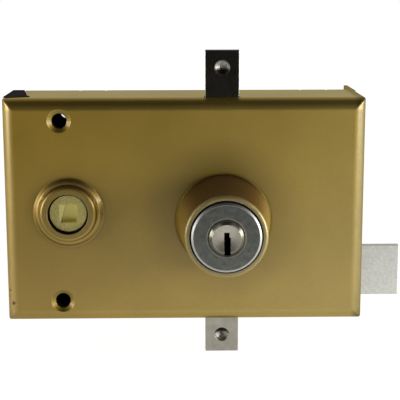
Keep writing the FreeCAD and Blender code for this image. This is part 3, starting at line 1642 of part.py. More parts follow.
def check_document():
    for item in document.Objects:
        failed = {"Invalid", "Error"} & set(item.State)
        if failed:
            raise ValueError(f"{item.Label} is {sorted(failed)}: {item.getStatusString()}")


def check_shapes(parts):
    for part in parts:
        if part.Shape.isNull() or not part.Shape.isValid() or part.Shape.Volume <= 0:
            raise ValueError(f"{part.Label} has no valid solid")


def write_parts(parts):
    os.makedirs("parts", exist_ok=True)
    for part in parts:
        part.Shape.exportStep(f"parts/{part.Label}.step")


fill_sheet()
lock_parts = make_parts()
document.recompute()
check_document()
check_shapes(lock_parts)
write_parts(lock_parts)
print(f"{len(lock_parts)} parts, travel {value('travel'):.4f} mm")
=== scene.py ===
import json
import math

import bmesh
import bpy
from mathutils import Matrix, Vector


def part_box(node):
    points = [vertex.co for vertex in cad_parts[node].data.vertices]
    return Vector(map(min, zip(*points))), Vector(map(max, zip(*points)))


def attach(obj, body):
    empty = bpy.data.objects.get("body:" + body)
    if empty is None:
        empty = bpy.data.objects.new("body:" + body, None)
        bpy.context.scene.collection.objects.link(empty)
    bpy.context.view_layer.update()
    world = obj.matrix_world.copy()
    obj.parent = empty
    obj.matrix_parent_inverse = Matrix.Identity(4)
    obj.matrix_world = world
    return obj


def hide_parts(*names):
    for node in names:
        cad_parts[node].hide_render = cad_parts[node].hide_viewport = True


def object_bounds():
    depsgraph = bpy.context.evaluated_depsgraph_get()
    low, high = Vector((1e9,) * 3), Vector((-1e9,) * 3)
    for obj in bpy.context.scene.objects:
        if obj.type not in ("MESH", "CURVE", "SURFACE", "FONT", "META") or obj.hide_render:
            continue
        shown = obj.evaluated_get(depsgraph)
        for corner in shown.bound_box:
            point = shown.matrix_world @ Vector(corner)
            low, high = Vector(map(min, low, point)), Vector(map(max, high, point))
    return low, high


# Surface-mounted multipoint lock, seen from the front and a little above.
# +X points to the edge of the door, +Z up, and the front of the lock faces -Y.
# Blender's lengths are metres: a size written in millimetres takes MM to become one.
# Inside the materials, places and sizes are in millimetres.
MM = 0.001
ACROSS = Vector((1, 0, 0))
UP = Vector((0, 0, 1))

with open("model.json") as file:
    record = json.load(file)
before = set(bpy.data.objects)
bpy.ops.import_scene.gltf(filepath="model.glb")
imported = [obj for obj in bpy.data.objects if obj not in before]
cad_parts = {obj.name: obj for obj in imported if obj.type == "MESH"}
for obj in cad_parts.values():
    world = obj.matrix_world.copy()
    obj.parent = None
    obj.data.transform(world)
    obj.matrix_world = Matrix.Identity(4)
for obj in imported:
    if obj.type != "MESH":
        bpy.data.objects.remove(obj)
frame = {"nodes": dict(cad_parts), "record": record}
cad_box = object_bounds()


# Places read from the fixed frame, in metres

def node_middle(name):
    low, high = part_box(name)
    return (low + high) / 2


def mount(name):
    return next(mount for mount in frame["record"]["mounts"] if mount["name"] == name)


def mount_place(name):
    return Vector(mount(name)["pos_m"])


CASE_LOW, CASE_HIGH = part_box("case_shell")
PLUG_AXIS = node_middle("cylinder_plug")
HUB_AXIS = node_middle("follower_hub")


# Planes of the frame in millimetres, for the materials

CASE_LEFT, BOSS_FRONT, CASE_BOTTOM = CASE_LOW / MM
CASE_RIGHT, _, CASE_TOP = CASE_HIGH / MM
SHEET = 1.5
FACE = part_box("carrier_plate")[0].y / MM - SHEET
HUB_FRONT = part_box("follower_hub")[0].y / MM
PLUG_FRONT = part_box("cylinder_plug")[0].y / MM
SLEEVE_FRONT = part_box("fixing_sleeves")[0].y / MM


# Camera

# Angles are in radians, and the lens and the sensor in millimetres
CAMERA_PLACE = Vector((-1.71, -463.87, 87.92)) * MM
CAMERA_YAW = 0.0177
CAMERA_PITCH = 0.1917
CAMERA_ROLL = -0.0016
CAMERA_LENS = 101.5
CAMERA_SENSOR = 36.0
CAMERA_NEAR = 20 * MM


def make_camera():
    data = bpy.data.cameras.new("camera")
    data.lens = CAMERA_LENS
    data.sensor_width = CAMERA_SENSOR
    data.clip_start = CAMERA_NEAR
    forward = Vector((
        math.sin(CAMERA_YAW) * math.cos(CAMERA_PITCH),
        math.cos(CAMERA_YAW) * math.cos(CAMERA_PITCH),
        -math.sin(CAMERA_PITCH),
    ))
    level = Vector((math.cos(CAMERA_YAW), -math.sin(CAMERA_YAW), 0))
    upright = level.cross(forward)
    right = math.cos(CAMERA_ROLL) * level + math.sin(CAMERA_ROLL) * upright
    up = right.cross(forward)
    camera = bpy.data.objects.new("camera", data)
    turn = Matrix((right, up, -forward)).transposed()
    camera.matrix_world = Matrix.Translation(CAMERA_PLACE) @ turn.to_4x4()
    bpy.context.scene.collection.objects.link(camera)
    bpy.context.scene.camera = camera


# Node trees

class NodeTree:
    """A node tree, with a short call for each kind of node that repeats."""

    def __init__(self, tree):
        self.nodes = tree.nodes
        self.links = tree.links

    def add(self, kind, **settings):
        node = self.nodes.new(kind)
        for name, setting in settings.items():
            setattr(node, name, setting)
        return node

    def feed(self, socket, source):
        """Sets a socket to a number or colour, or links another node's output to it."""
        if isinstance(source, bpy.types.NodeSocket):
            self.links.new(source, socket)
        else:
            socket.default_value = source

    def maths(self, operation, first, second=0.0):
        node = self.add("ShaderNodeMath", operation=operation)
        self.feed(node.inputs[0], first)
        self.feed(node.inputs[1], second)
        return node.outputs[0]

    def product(self, first, *others):
        for other in others:
            first = self.maths("MULTIPLY", first, other)
        return first

    def largest(self, first, *others):
        for other in others:
            first = self.maths("MAXIMUM", first, other)
        return first

    def absolute(self, number):
        return self.maths("ABSOLUTE", number)

    def rest(self, share):
        """What a share leaves of 1."""
        return self.maths("SUBTRACT", 1.0, share)

    def level(self, number, start, end, low=0.0, high=1.0, steps="LINEAR"):
        """Maps a number's range from start to end onto low to high, and holds it there."""
        node = self.add("ShaderNodeMapRange", interpolation_type=steps)
        for socket, source in zip(node.inputs[:5], (number, start, end, low, high)):
            self.feed(socket, source)
        return node.outputs[0]

    def below(self, number, start, end):
        """1 where a number is below start, falling to 0 at end."""
        return self.level(number, start, end, 1.0, 0.0)

    def blend(self, share, low, high):
        """A number that goes from low to high as a share goes from 0 to 1."""
        return self.level(share, 0.0, 1.0, low, high)

    def mix(self, share, first, second, kind="MIX"):
        """Goes from the first colour to the second as a share goes from 0 to 1."""
        node = self.add("ShaderNodeMix", data_type="RGBA", blend_type=kind)
        sockets = [socket for socket in node.inputs if socket.type == "RGBA"]
        self.feed(node.inputs[0], share)
        self.feed(sockets[0], opaque(first))
        self.feed(sockets[1], opaque(second))
        return next(socket for socket in node.outputs if socket.type == "RGBA")

    def tinted(self, base, tint, mask=1.0):
        """A colour multiplied by a tint where a mask is 1."""
        return self.mix(mask, base, tint, "MULTIPLY")

    def grey(self, value):
        node = self.add("ShaderNodeCombineColor")
        for socket in node.inputs[:3]:
            self.links.new(value, socket)
        return node.outputs[0]

    def parts(self, vector):
        """The three numbers of a vector."""
        split = self.add("ShaderNodeSeparateXYZ")
        self.feed(split.inputs[0], vector)
        return split.outputs[:3]


def opaque(source):
    if isinstance(source, tuple) and len(source) == 3:
        return (*source, 1.0)
    return source


# Materials

# Rays that look for the edges near a point
BEVEL_SAMPLES = 6
# Cosine of the angle between the plain and the rounded normal, from where an edge
# starts to show to where it shows fully
SHARP = (0.98, 0.85)
# The normal's height, from where a surface starts to face up to where it does fully
UPWARD = (0.25, 0.85)
# Share of a spot's radius that it fills evenly
SPOT_CORE = 0.6


class Finish(NodeTree):
    """One procedural material. Places inside it are in millimetres, in the lock's frame."""

    def __init__(self, name, metallic=1.0):
        self.material = bpy.data.materials.new(name)
        self.material.use_nodes = True
        super().__init__(self.material.node_tree)
        self.shader = self.nodes["Principled BSDF"]
        self.shader.inputs["Metallic"].default_value = metallic
        scale = self.add("ShaderNodeVectorMath", operation="SCALE")
        scale.inputs["Scale"].default_value = 1 / MM
        self.feed(scale.inputs[0], self.add("ShaderNodeTexCoord").outputs["Object"])
        self.place = scale.outputs[0]
        self.across, self.forward, self.height = self.parts(self.place)

    def stretched(self, stretch):
        """The place, scaled by its own factor along each axis."""
        node = self.add("ShaderNodeVectorMath", operation="MULTIPLY")
        self.feed(node.inputs[0], self.place)
        self.feed(node.inputs[1], stretch)
        return node.outputs[0]

    def noise(self, scale, detail=2.0, stretch=None):
        """Soft noise from 0 to 1, with about scale patches to a millimetre."""
        node = self.add("ShaderNodeTexNoise")
        self.feed(node.inputs["Vector"], self.stretched(stretch) if stretch else self.place)
        self.feed(node.inputs["Scale"], scale)
        self.feed(node.inputs["Detail"], detail)
        return node.outputs["Fac"]

    def patches(self, scale, detail=2.0, start=0.3, end=0.7, low=0.0, high=1.0):
        """Patches that go from low to high where the noise goes from start to end."""
        return self.level(self.noise(scale, detail), start, end, low, high)

    def cells(self, scale):
        """A random number for each of many crystal-like cells."""
        node = self.add("ShaderNodeTexVoronoi")
        self.feed(node.inputs["Vector"], self.place)
        self.feed(node.inputs["Scale"], scale)
        split = self.add("ShaderNodeSeparateColor")
        self.links.new(node.outputs["Color"], split.inputs[0])
        return split.outputs[0]

    def axis_distance(self, middle):
        """Distance in millimetres from an axis along Y through a middle point."""
        node = self.add("ShaderNodeVectorMath", operation="DISTANCE")
        self.feed(node.inputs[0], self.stretched((1.0, 0.0, 1.0)))
        self.feed(node.inputs[1], (middle.x / MM, 0.0, middle.z / MM))
        return node.outputs["Value"]

    def rings(self, middle, pitch):
        """The fine circles that a lathe leaves round an axis, from 0 to 1."""
        turns = self.product(self.axis_distance(middle), 2 * math.pi / pitch)
        return self.level(self.maths("SINE", turns), -1.0, 1.0)

    def spot(self, middle, radius):
        """1 at a point, falling to 0 at a radius."""
        node = self.add("ShaderNodeVectorMath", operation="DISTANCE")
        self.feed(node.inputs[0], self.place)
        self.feed(node.inputs[1], middle)
        return self.below(node.outputs["Value"], radius * SPOT_CORE, radius)

    def normal(self):
        return self.add("ShaderNodeNewGeometry").outputs["Normal"]

    def facing_up(self):
        """1 where the surface looks upwards, 0 where it is upright or looks down."""
        return self.level(self.parts(self.normal())[2], *UPWARD)

    def rounded_normal(self, radius):
        bevel = self.add("ShaderNodeBevel", samples=BEVEL_SAMPLES)
        bevel.inputs["Radius"].default_value = radius * MM
        return bevel.outputs["Normal"]

    def edges(self, reach):
        """1 along sharp edges and corners, 0 on the flats between them."""
        facing = self.add("ShaderNodeVectorMath", operation="DOT_PRODUCT")
        self.links.new(self.rounded_normal(reach), facing.inputs[0])
        self.links.new(self.normal(), facing.inputs[1])
        return self.level(facing.outputs["Value"], *SHARP)

    def worn(self, reach, scale=1.3, detail=3.0, start=0.35, end=0.6):
        """Patches of wear along the edges."""
        return self.product(self.edges(reach), self.patches(scale, detail, start, end))

    def colour(self, source):
        self.feed(self.shader.inputs["Base Color"], opaque(source))

    def roughness(self, source):
        self.feed(self.shader.inputs["Roughness"], source)

    def relief(self, height, depth, strength, rounding):
        """A bump of a depth in millimetres, over edges rounded by a radius."""
        node = self.add("ShaderNodeBump")
        self.feed(node.inputs["Height"], height)
        self.feed(node.inputs["Distance"], depth * MM)
        self.feed(node.inputs["Strength"], strength)
        self.links.new(self.rounded_normal(rounding), node.inputs["Normal"])
        self.links.new(node.outputs[0], self.shader.inputs["Normal"])


# Regions of the case

# Sizes in millimetres. A pair is where a mask starts to change and where it ends.
BEND_RADIUS = 4.8
BEND_FADE = 2.0
RIGHT_BEND_FADE = 2.5
LONG_BEND_FADE = 1.0
FLANGE_DEPTH = (0.15, 0.02)
RIM_DEPTH = (0.4, 1.3)
MOUTH_RADIUS = (13.2, 13.4)
FLANK_START = 1.0
FLANK_INNER_RADIUS = (14.9, 15.3)
FLANK_OUTER_RADIUS = (18.6, 19.2)
RING_START = 0.4
RING_RADIUS = (13.4, 14.0)
CONE_RADIUS = (4.2, 4.65)
WALL_RADIUS = (2.9, 3.05)


def right_bend(finish):
    """1 on the bend along the case's right edge."""
    tangent = CASE_RIGHT - BEND_RADIUS
    return finish.level(finish.across, tangent, tangent + RIGHT_BEND_FADE)


def left_bend(finish):
    """1 on the bend along the case's left edge."""
    tangent = CASE_LEFT + BEND_RADIUS
    return finish.below(finish.across, tangent - BEND_FADE, tangent)


def lower_bend(finish):
    """1 on the bend along the case's lower edge, and on its flange."""
    tangent = CASE_BOTTOM + BEND_RADIUS
    return finish.below(finish.height, tangent - BEND_FADE, tangent)


def long_bends(finish):
    """1 on the bends along the case's upper and lower edges, and on their flanges."""
    tangent = CASE_TOP - BEND_RADIUS
    return finish.level(finish.absolute(finish.height), tangent, tangent + LONG_BEND_FADE)


def flange_sides(finish):
    """1 on the outer sides of the upper and lower flanges."""
    start, end = (CASE_TOP - depth for depth in FLANGE_DEPTH)
    return finish.level(finish.absolute(finish.height), start, end)


def boss_mouth(finish):
    """1 on the rounded front rim of the cylinder's boss."""
    start, end = (BOSS_FRONT + depth for depth in RIM_DEPTH)
    outside = finish.level(finish.axis_distance(PLUG_AXIS), *MOUTH_RADIUS)
    return finish.product(finish.below(finish.forward, start, end), outside)


def boss_flank(finish):
    """1 on the flank of the cylinder's boss."""
    distance = finish.axis_distance(PLUG_AXIS)
    start, end = (BOSS_FRONT + depth for depth in RIM_DEPTH)
    return finish.product(
        finish.below(finish.forward, FACE - FLANK_START, FACE),
        finish.level(finish.forward, start, end),
        finish.level(distance, *FLANK_INNER_RADIUS),
        finish.below(distance, *FLANK_OUTER_RADIUS),
    )


def spindle_boss(finish):
    """1 on the stepped boss round the spindle hub."""
    raised = finish.below(finish.forward, FACE - RING_START, FACE)
    return finish.product(raised, finish.below(finish.axis_distance(HUB_AXIS), *RING_RADIUS))


def screw_holes(finish):
    """Two masks for the screw holes at the left: 1 on their cones, and 1 on their walls."""
    holes = mount("face_screw_holes")
    reach = UP * (holes["dims"]["spacing_y_mm"] * MM / 2)
    middle = Vector(holes["pos_m"])
    distances = [finish.axis_distance(middle + side * reach) for side in (-1, 1)]
    return tuple(
        finish.largest(*(finish.below(distance, *radius) for distance in distances))
        for radius in (CONE_RADIUS, WALL_RADIUS)
    )


# Painted shade round the bosses' feet

# A foot's radius in millimetres, how far the painted shade reaches past it, and the factors on
# the colour in the corner and beside it
BOSS_FOOT = (18.1, 15.0, 0.55, 0.74)
RING_FOOT = (13.6, 4.0, 0.82, 0.94)
# Where the painted shade fades out, in front of the face and to each side of the corner
FOOT_DEPTH = (0.2, 1.6)
CREASE = (0.3, 1.2)


def painted_foot_shade(finish, axis, foot):
    """Painted shade round the foot of a boss: a factor below 1 near the front face."""
    radius, reach, corner, beside = foot
    start, end = (FACE - depth for depth in FOOT_DEPTH)
    near = finish.level(finish.forward, end, start)
    distance = finish.axis_distance(axis)
    spread = finish.level(distance, radius, radius + reach, beside, 1.0)
    aside = finish.absolute(finish.maths("SUBTRACT", distance, radius))
    creased = finish.level(aside, *CREASE, corner, 1.0)
    return finish.rest(finish.product(near, finish.rest(finish.product(spread, creased))))


# The case's lacquer

LACQUER_DARK = (0.42, 0.290, 0.052)
LACQUER_LIGHT = (0.475, 0.328, 0.060)
LACQUER_WORN = (0.55, 0.50, 0.38)
LACQUER_CHIP = (0.13, 0.10, 0.03)
LACQUER_SHEEN = (0.85, 0.62, 0.15)

# Factors on the lacquer's colour: at the left and right ends of the case; painted light on
# the sides of the cylinder boss's flank and painted shade where it faces up; a paler
# painted highlight on the mouth of that boss; a paler painted highlight on the sides of the
# spindle's boss and painted shade where it faces up; painted shade on the cones and walls of
# the screw holes; painted light on the flanges; a paler painted highlight on the left bend;
# and painted shade on the right and lower bends
LEFT_TINT = (0.97, 0.93, 0.72)
RIGHT_TINT = (0.97, 1.03, 1.32)
FLANK_SIDE_LIGHT = (1.04, 1.08, 1.55)
FLANK_TOP_SHADE = (0.42, 0.43, 1.75)
MOUTH_SHEEN = (0.84, 0.94, 1.8)
RING_SIDE_SHEEN = (0.86, 0.90, 1.35)
RING_TOP_SHADE = (0.55, 0.50, 1.1)
CONE_SIDE_SHADE = (0.75, 0.78, 0.9)
CONE_FLOOR_SHADE = (0.15, 0.15, 0.15)
WALL_SHADE = (0.15, 0.15, 0.15)
FLANGE_LIGHT = (1.12, 1.38, 0.9)
LEFT_BEND_SHEEN = (0.97, 1.04, 2.0)
RIGHT_BEND_SHADE = (0.50, 0.54, 1.0)
LOWER_BEND_SHADE = (0.82, 0.84, 0.8)

# Roughness of the lacquer: on flat parts from patch to patch, on the turned flank where
# it faces up enough, and on the bends along the upper and lower edges. The spindle's
# boss goes part of the way to the flank's.
FLAT_LACQUER = (0.56, 0.62)
SMOOTH_LACQUER = 0.40
BEND_ROUGHNESS = 0.42
SMOOTH_FACING = (0.3, 0.8)
RING_SMOOTHNESS = 0.6

# The clear coat, which appears as the painted shade of the boss's foot thins out, and the share
# of it that is missing on the holes' cones, the spindle's boss and the right bend
COAT_WEIGHT = 0.35
COAT_IOR = 2.1
COAT_ROUGHNESS = 0.20
COAT_SHADE = (0.5, 0.75)
CONE_FACING = (0.0, 0.4)
CONE_UNCOATED = (0.5, 1.0)
RING_UNCOATED = 0.45
BEND_UNCOATED = 0.6

# Chips in the lacquer of the left bend: a place in millimetres and a radius
CASE_CHIPS = (
    ((-68.7, -33.5, -31.4), 0.6),
    ((-69.2, -32.9, -33.9), 0.5),
    ((-67.5, -34.4, -36.4), 0.9),
)


def lacquer(finish):
    """The lacquer's own colour: cloudy, finely flaked, and rubbed pale along the edges."""
    cloud = finish.patches(scale=0.03, detail=3.0, start=0.35, end=0.65)
    base = finish.mix(cloud, LACQUER_DARK, LACQUER_LIGHT)
    drift = finish.level(finish.across, CASE_LEFT, CASE_RIGHT)
    base = finish.tinted(base, finish.mix(drift, LEFT_TINT, RIGHT_TINT))
    flakes = finish.patches(scale=2.6, detail=1.0, low=0.92, high=1.08)
    base = finish.tinted(base, finish.grey(flakes))
    worn = finish.worn(reach=0.5, scale=0.9, detail=4.0, start=0.5, end=0.62)
    return finish.mix(worn, base, LACQUER_WORN)


def lacquered_case():
    """Gold metallic lacquer on pressed steel, with a fine orange peel and small chips, and
    painted light and shade on its bosses, screw holes, flanges and bends.
    """
    finish = Finish("lacquered_case")
    chips = finish.largest(*(finish.spot(place, radius) for place, radius in CASE_CHIPS))
    base = finish.mix(chips, lacquer(finish), LACQUER_CHIP)
    # Painted shade round the feet of both bosses
    boss_shade = painted_foot_shade(finish, PLUG_AXIS, BOSS_FOOT)
    for shade in (boss_shade, painted_foot_shade(finish, HUB_AXIS, RING_FOOT)):
        base = finish.tinted(base, finish.grey(shade))
    up = finish.facing_up()
    flank = boss_flank(finish)
    ring = spindle_boss(finish)
    cones, walls = screw_holes(finish)
    right = right_bend(finish)
    regions = (
        # Painted light on the flank's sides and painted shade where it faces up
        (flank, finish.mix(up, FLANK_SIDE_LIGHT, FLANK_TOP_SHADE)),
        # A paler painted highlight on the boss's mouth
        (boss_mouth(finish), MOUTH_SHEEN),
        # A paler painted highlight on the spindle boss's sides and painted shade where it faces
        # up
        (ring, finish.mix(up, RING_SIDE_SHEEN, RING_TOP_SHADE)),
        # Painted shade on the screw holes' cones, deepest where they face up, and on their walls
        (cones, finish.mix(up, CONE_SIDE_SHADE, CONE_FLOOR_SHADE)),
        (walls, WALL_SHADE),
        # Painted light on the flanges
        (flange_sides(finish), FLANGE_LIGHT),
        # Painted shade on the right bend, a paler painted highlight on the left bend, and painted
        # shade on the lower bend
        (right, RIGHT_BEND_SHADE),
        (left_bend(finish), LEFT_BEND_SHEEN),
        (lower_bend(finish), LOWER_BEND_SHADE),
    )
    for mask, tint in regions:
        base = finish.tinted(base, tint, mask)
    finish.colour(base)
    finish.shader.inputs["Specular Tint"].default_value = opaque(LACQUER_SHEEN)

    flank_tops = finish.product(flank, finish.level(up, *SMOOTH_FACING))
    turned = finish.largest(flank_tops, finish.product(ring, RING_SMOOTHNESS))
    low, high = FLAT_LACQUER
    flat = finish.patches(scale=0.4, detail=4.0, low=low, high=high)
    rough = finish.blend(turned, flat, SMOOTH_LACQUER)
    finish.roughness(finish.blend(long_bends(finish), rough, BEND_ROUGHNESS))
    finish.relief(finish.noise(scale=0.9), depth=0.02, strength=0.25, rounding=0.25)

    uncoated = finish.largest(
        walls,
        finish.product(cones, finish.level(up, *CONE_FACING, *CONE_UNCOATED)),
        chips,
        finish.product(ring, RING_UNCOATED),
        finish.product(right, BEND_UNCOATED),
    )
    coat = finish.level(boss_shade, *COAT_SHADE, 0.0, COAT_WEIGHT)
    finish.feed(finish.shader.inputs["Coat Weight"], finish.product(coat, finish.rest(uncoated)))
    finish.shader.inputs["Coat IOR"].default_value = COAT_IOR
    finish.shader.inputs["Coat Roughness"].default_value = COAT_ROUGHNESS
    return finish.material


# Plain metals

METAL_GRAIN = (2.5, 2.5, 2.5)
ROUGHNESS_SPREAD = 0.06
ROUNDING_SHARE = 0.6


def plain_metal(name, colour, worn_colour, rough, mottle=0.12, mottle_scale=0.35,
                grain=METAL_GRAIN, relief_depth=0.01, edge=0.3):
    """A bare or plated metal with mottled colour, a grain and bright worn edges."""
    finish = Finish(name)
    low = tuple(channel * (1 - mottle) for channel in colour)
    high = tuple(min(1.0, channel * (1 + mottle)) for channel in colour)
    base = finish.mix(finish.patches(mottle_scale, detail=5.0), low, high)
    finish.colour(finish.mix(finish.worn(edge), base, worn_colour))
    lines = finish.noise(scale=1.0, detail=3.0, stretch=grain)
    smooth, dull = rough - ROUGHNESS_SPREAD, rough + ROUGHNESS_SPREAD
    finish.roughness(finish.level(lines, start=0.3, end=0.7, low=smooth, high=dull))
    finish.relief(lines, relief_depth, strength=0.5, rounding=edge * ROUNDING_SHARE)
    return finish.material


def screw_steel():
    return plain_metal("screw_steel", colour=(0.42, 0.40, 0.34),
                       worn_colour=(0.62, 0.60, 0.55), rough=0.34)


def cylinder_brass():
    return plain_metal("cylinder_brass", colour=(0.62, 0.45, 0.19),
                       worn_colour=(0.80, 0.64, 0.34), rough=0.28)


def spring_steel():
    return plain_metal("spring_steel", colour=(0.40, 0.40, 0.42),
                       worn_colour=(0.60, 0.60, 0.62), rough=0.26)


def bolt_steel():
    return plain_metal("bolt_steel", colour=(0.67, 0.665, 0.61),
                       worn_colour=(0.80, 0.79, 0.74), rough=0.40, mottle=0.10,
                       mottle_scale=0.8, grain=(2.2, 2.2, 2.2), relief_depth=0.012)


def gear_steel():
    return plain_metal("gear_steel", colour=(0.36, 0.355, 0.34),
                       worn_colour=(0.62, 0.61, 0.58), rough=0.32, mottle=0.2)


# Galvanised sheet

ZINC_DARK = (0.50, 0.51, 0.50)
ZINC_LIGHT = (0.62, 0.62, 0.60)
ZINC_STAIN = (0.50, 0.47, 0.36)
ZINC_WORN = (0.30, 0.29, 0.28)


def zinc_plate():
    """Galvanised sheet, with faint crystals."""
    finish = Finish("zinc_plate")
    spangle = finish.cells(scale=0.28)
    base = finish.mix(spangle, ZINC_DARK, ZINC_LIGHT)
    stain = finish.patches(scale=0.12, detail=4.0, start=0.5, end=0.75)
    base = finish.mix(stain, base, ZINC_STAIN)
    worn = finish.worn(reach=0.3, scale=1.2, start=0.4)
    finish.colour(finish.mix(worn, base, ZINC_WORN))
    finish.roughness(finish.blend(spangle, low=0.30, high=0.44))
    waves = finish.noise(scale=0.8, detail=3.0)
    finish.relief(waves, depth=0.015, strength=0.4, rounding=0.2)
    return finish.material


# The cylinder's collar

# Radii in millimetres between which its face is dark: its rims are pale, partly as polished metal
# and partly as painted highlight
COLLAR_INNER = 7.3
COLLAR_OUTER = 12.05
RIM_FADE = 0.1
RIM_ROUGHNESS = 0.50
COLLAR_DARK = (0.135, 0.142, 0.125)
COLLAR_LIGHT = (0.22, 0.225, 0.195)
# The rims' colour at the sides, and where they face up, darkened there as painted shade
RIM_SIDE = (0.50, 0.49, 0.46)
RIM_TOP_SHADE = (0.16, 0.16, 0.15)
# Millimetres from one turning ring to the next, and the stains' share of the relief
COLLAR_RINGS = 0.45
STAIN_SHARE = 0.35


def collar_steel():
    """Turned steel, dark and a little stained on its face, with pale rims that are partly painted
    highlight and darkened with painted shade where they face up.
    """
    finish = Finish("collar_steel")
    stains = finish.patches(scale=0.5, detail=6.0, start=0.32, end=0.68)
    base = finish.mix(stains, COLLAR_DARK, COLLAR_LIGHT)
    radius = finish.axis_distance(PLUG_AXIS)
    rims = finish.largest(
        finish.below(radius, COLLAR_INNER - RIM_FADE, COLLAR_INNER + RIM_FADE),
        finish.level(radius, COLLAR_OUTER - RIM_FADE, COLLAR_OUTER + RIM_FADE),
    )
    # Painted highlight on the rims, with painted shade where they face up
    pale = finish.mix(finish.facing_up(), RIM_SIDE, RIM_TOP_SHADE)
    finish.colour(finish.mix(rims, base, pale))
    rough = finish.patches(scale=0.9, detail=4.0, low=0.30, high=0.42)
    finish.roughness(finish.blend(rims, rough, RIM_ROUGHNESS))
    rings = finish.grey(finish.rings(PLUG_AXIS, COLLAR_RINGS))
    height = finish.mix(STAIN_SHARE, rings, finish.grey(stains))
    finish.relief(height, depth=0.012, strength=0.5, rounding=0.15)
    return finish.material


# The key plug

NICKEL_DARK = (0.48, 0.45, 0.36)
NICKEL_LIGHT = (0.61, 0.57, 0.47)
NICKEL_WORN = (0.62, 0.42, 0.20)
KEYWAY_SHADE = (0.03, 0.025, 0.02)
# Where painted shade darkens the keyway, in millimetres behind the plug's front and from its axis
KEYWAY_DEPTH = (1.4, 2.2)
KEYWAY_RADIUS = (6.2, 6.4)
# Millimetres from one turning ring to the next
PLUG_RINGS = 0.6


def plug_nickel():
    """Nickel-plated brass, with turning rings, brass showing at worn edges, and painted shade
    deep in the keyway.
    """
    finish = Finish("plug_nickel")
    patches = finish.patches(scale=0.6, detail=5.0)
    base = finish.mix(patches, NICKEL_DARK, NICKEL_LIGHT)
    base = finish.mix(finish.worn(reach=0.25, scale=1.5), base, NICKEL_WORN)
    start, end = (PLUG_FRONT + depth for depth in KEYWAY_DEPTH)
    inside = finish.level(finish.forward, start, end)
    keyway = finish.below(finish.axis_distance(PLUG_AXIS), *KEYWAY_RADIUS)
    # Painted shade deep in the keyway
    finish.colour(finish.mix(finish.product(inside, keyway), base, KEYWAY_SHADE))
    finish.roughness(finish.blend(patches, low=0.14, high=0.22))
    rings = finish.grey(finish.rings(PLUG_AXIS, PLUG_RINGS))
    finish.relief(rings, depth=0.01, strength=0.6, rounding=0.12)
    return finish.material


# The rod ends

ROD_DARK = (0.31, 0.29, 0.24)
ROD_LIGHT = (0.39, 0.37, 0.305)
ROD_WORN = (0.48, 0.47, 0.43)
ROD_SEAT_SHADE = (0.04, 0.035, 0.03)
SEAT_DARK = (0.30, 0.28, 0.24)
SEAT_LIGHT = (0.70, 0.67, 0.60)
ROD_SEATS = ("bottom_rod_seat", "top_rod_seat")
# The drilled seats and their chamfers, and the painted shade on the side towards the case, in
# millimetres from the seats' middles
SEAT_RADIUS = (2.42, 2.5)
CHAMFER_RADIUS = (2.9, 3.0)
SEAT_SHADE_REACH = (-0.9, 0.1)
# Grain along the rods, how far across a cut side faces, and the roughness of the cut
# sides and chamfers, and of the seats
ROD_GRAIN = (4.0, 1.0, 0.6)
SIDE_FACING = (0.5, 0.9)
CUT_ROUGHNESS = 0.60
SEAT_ROUGHNESS = 0.42


def rod_steel():
    """Smooth dark steel with rough sides and rough drilled seats, which carry painted shade on
    the side towards the case."""
    finish = Finish("rod_steel")
    base = finish.mix(finish.patches(scale=0.35, detail=5.0), ROD_DARK, ROD_LIGHT)
    distances = [finish.axis_distance(mount_place(name)) for name in ROD_SEATS]
    seats, chamfers = (
        finish.largest(*(finish.below(distance, *radius) for distance in distances))
        for radius in (SEAT_RADIUS, CHAMFER_RADIUS)
    )
    scraped = finish.patches(scale=1.8, detail=3.0, start=0.4, end=0.6)
    base = finish.mix(seats, base, finish.mix(scraped, SEAT_DARK, SEAT_LIGHT))
    bottom, top = (abs(mount_place(name).z) / MM for name in ROD_SEATS)
    seat_height = finish.level(finish.height, -1.0, 1.0, bottom, top)
    outward = finish.maths("SUBTRACT", finish.absolute(finish.height), seat_height)
    # Painted shade in the seats' chamfers on the side towards the case
    shaded_side = finish.product(chamfers, finish.below(outward, *SEAT_SHADE_REACH))
    base = finish.mix(shaded_side, base, ROD_SEAT_SHADE)
    finish.colour(finish.mix(finish.worn(reach=0.25), base, ROD_WORN))
    sides = finish.level(finish.absolute(finish.parts(finish.normal())[0]), *SIDE_FACING)
    lines = finish.noise(scale=1.0, detail=3.0, stretch=ROD_GRAIN)
    smooth = finish.level(lines, start=0.3, end=0.7, low=0.10, high=0.18)
    rough = finish.blend(finish.largest(chamfers, sides), smooth, CUT_ROUGHNESS)
    finish.roughness(finish.blend(seats, rough, SEAT_ROUGHNESS))
    waves = finish.noise(scale=1.6, detail=3.0)
    finish.relief(waves, depth=0.004, strength=0.5, rounding=0.15)
    return finish.material


# The spindle hub and the wedge in its socket

BRASS_DARK = (0.60, 0.515, 0.18)
BRASS_LIGHT = (0.77, 0.67, 0.25)
BRASS_WORN = (0.78, 0.70, 0.40)
# The socket's yellow, lightened as painted light
SOCKET_LIGHT = (1.0, 0.92, 0.36)
# The socket, in millimetres behind the hub's front and from its axis
SOCKET_DEPTH = (0.3, 0.8)
SOCKET_RADIUS = (5.0, 5.3)
WEDGE_DARK = (0.88, 0.78, 0.28)
WEDGE_LIGHT = (1.0, 0.90, 0.36)
WEDGE_SLANT_SHADE = (0.10, 0.08, 0.02)
SLANT_FACING = (0.3, 0.6)


